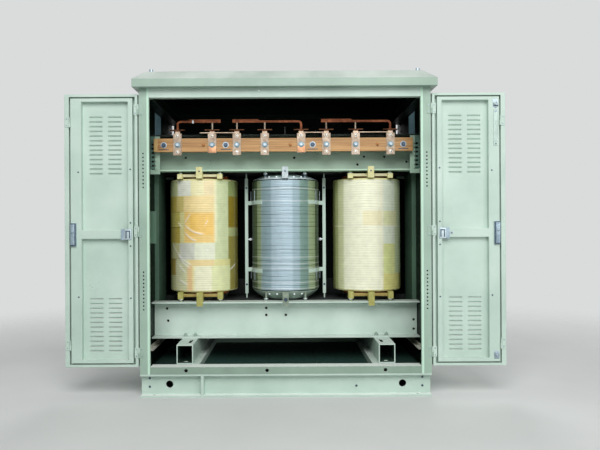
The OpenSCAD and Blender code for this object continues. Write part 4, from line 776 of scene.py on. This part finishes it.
# Bolts of the skids, dark screws in the base's small holes standing in for the shade in them, screws round the
# walls, the rear pans and the header, and dark plates behind the rear louvres, painted shade
skid_feet = [(s * x, y * 0.225, 0.347) for x in (0.667, 0.741) for s in (-1, 1) for y in (-1, 1)]
piece("skid_bolts", "cabinet", [at(hex_bolt(0.014, 0.016, 0.008), skid_feet)], dim_bolt)
web_bolts = [(x, WEB_FRONT, z) for x in (-0.93, 0.93) for z in (0.120, 0.062)] + [(0.48, WEB_FRONT, 0.062)]
piece("base_web_bolts", "cabinet", [at(pan_screw(0.0078), web_bolts, FRONT)], dark_steel)
rows = np.linspace(0.27, 1.97, 7)
side_row = at(pan_screw(0.006), [(BODY_SIDE, y, z) for y in (-0.542, 0.542) for z in rows], RIGHT)
rear_row = at(pan_screw(0.006), [(x, BODY_REAR, z) for x in (0.016, 0.903) for z in rows], REAR)
piece("wall_screws", "cabinet", [both_ways(side_row), both_ways(rear_row)], zinc)
piece("rear_louvre_shade_plates", "cabinet",
      [at(plate(0.260, 0.420, 0.002, 0.003), [(s * LOUVRE_X, SHADE_PLATE_Y, z) for s in (-1, 1) for z in LOUVRE_Z],
          FRONT)],
      black_sage)
piece("header_screw", "cabinet", [at(pan_screw(0.006), [(-0.1735, BODY_FRONT, 2.069)], FRONT)], bright)


# Studio: pale floor that keeps the shadow and fades into the backdrop, soft lamps, camera as photographed

def stage_floor():
    """Pale matt floor, one flat square; past a few metres it gives way to the backdrop."""
    material, tree, place = start("studio_floor_matt")
    noise = add(tree, "ShaderNodeTexNoise", {"Vector": place, "Scale": per(900), "Detail": 3.0})
    tone = add(tree, "ShaderNodeValToRGB", {"Fac": noise.outputs["Fac"]}, [(0.3, "#D9DBDA"), (0.7, "#DFE1E0")])
    matt = add(tree, "ShaderNodeBsdfPrincipled", {"Base Color": tone.outputs["Color"], "Roughness": 0.9})
    reach = add(tree, "ShaderNodeVectorMath", {0: place}, operation="LENGTH")
    fade = add(tree, "ShaderNodeMapRange", {"Value": reach.outputs["Value"], "From Min": 2.2, "From Max": 5.5},
               interpolation_type="SMOOTHSTEP")
    gone = add(tree, "ShaderNodeBsdfTransparent")
    both = add(tree, "ShaderNodeMixShader",
               {0: fade.outputs["Result"], 1: matt.outputs["BSDF"], 2: gone.outputs["BSDF"]})
    add(tree, "ShaderNodeOutputMaterial", {"Surface": both.outputs["Shader"]})
    mesh = bpy.data.meshes.new("studio_floor")
    side = 8.0
    mesh.from_pydata([(-side, -side, 0), (side, -side, 0), (side, side, 0), (-side, side, 0)], [], [(0, 1, 2, 3)])
    mesh.materials.append(material)
    floor = bpy.data.objects.new("studio_floor", mesh)
    bpy.context.scene.collection.objects.link(floor)


def lamp(name, place, target, size, watts):
    """Square soft lamp that faces its target."""
    light = bpy.data.lights.new(name, "AREA")
    light.size = size
    light.energy = watts
    thing = bpy.data.objects.new(name, light)
    bpy.context.scene.collection.objects.link(thing)
    thing.location = place
    way = np.subtract(target, place)
    thing.rotation_euler = (math.acos(-way[2] / np.linalg.norm(way)), 0, math.atan2(way[1], way[0]) - math.pi / 2)


stage_floor()
lamp("key", (-0.2, -5.9, 5.1), (0, -0.6, 1.1), 4.0, 355)
lamp("fill", (3.4, -5.4, 2.4), (0, -0.6, 1.1), 4.0, 100)
lamp("rear", (0.5, 5.5, 4.0), (0, 0.6, 1.4), 4.0, 220)

world = bpy.data.worlds.new("studio")
bpy.context.scene.world = world
world.use_nodes = True
sky = world.node_tree
sky.nodes.clear()
path = add(sky, "ShaderNodeLightPath")
seen = add(sky, "ShaderNodeMath", {0: path.outputs["Is Camera Ray"], 1: path.outputs["Is Glossy Ray"]},
           operation="MAXIMUM")
seen = add(sky, "ShaderNodeMath", {0: seen.outputs["Value"], 1: path.outputs["Is Transmission Ray"]},
           operation="MAXIMUM")
strength = add(sky, "ShaderNodeMix", {0: seen.outputs["Value"], 2: 0.16, 3: 0.82})
back = add(sky, "ShaderNodeBackground", {"Color": linear("#EEF0F0"), "Strength": strength.outputs["Result"]})
add(sky, "ShaderNodeOutputWorld", {"Surface": back.outputs["Background"]})

camera = bpy.data.cameras.new("camera")
camera.sensor_width = 36.0
camera.lens = 36.9
camera.shift_x = 14 / 600
camera.shift_y = 2 / 600
eye = bpy.data.objects.new("camera", camera)
bpy.context.scene.collection.objects.link(eye)
eye.location = (0.005, -4.765, 1.147)
eye.rotation_euler = (math.pi / 2, math.radians(0.3), 0)
bpy.context.scene.camera = eye
bpy.context.scene.view_settings.view_transform = "Standard"
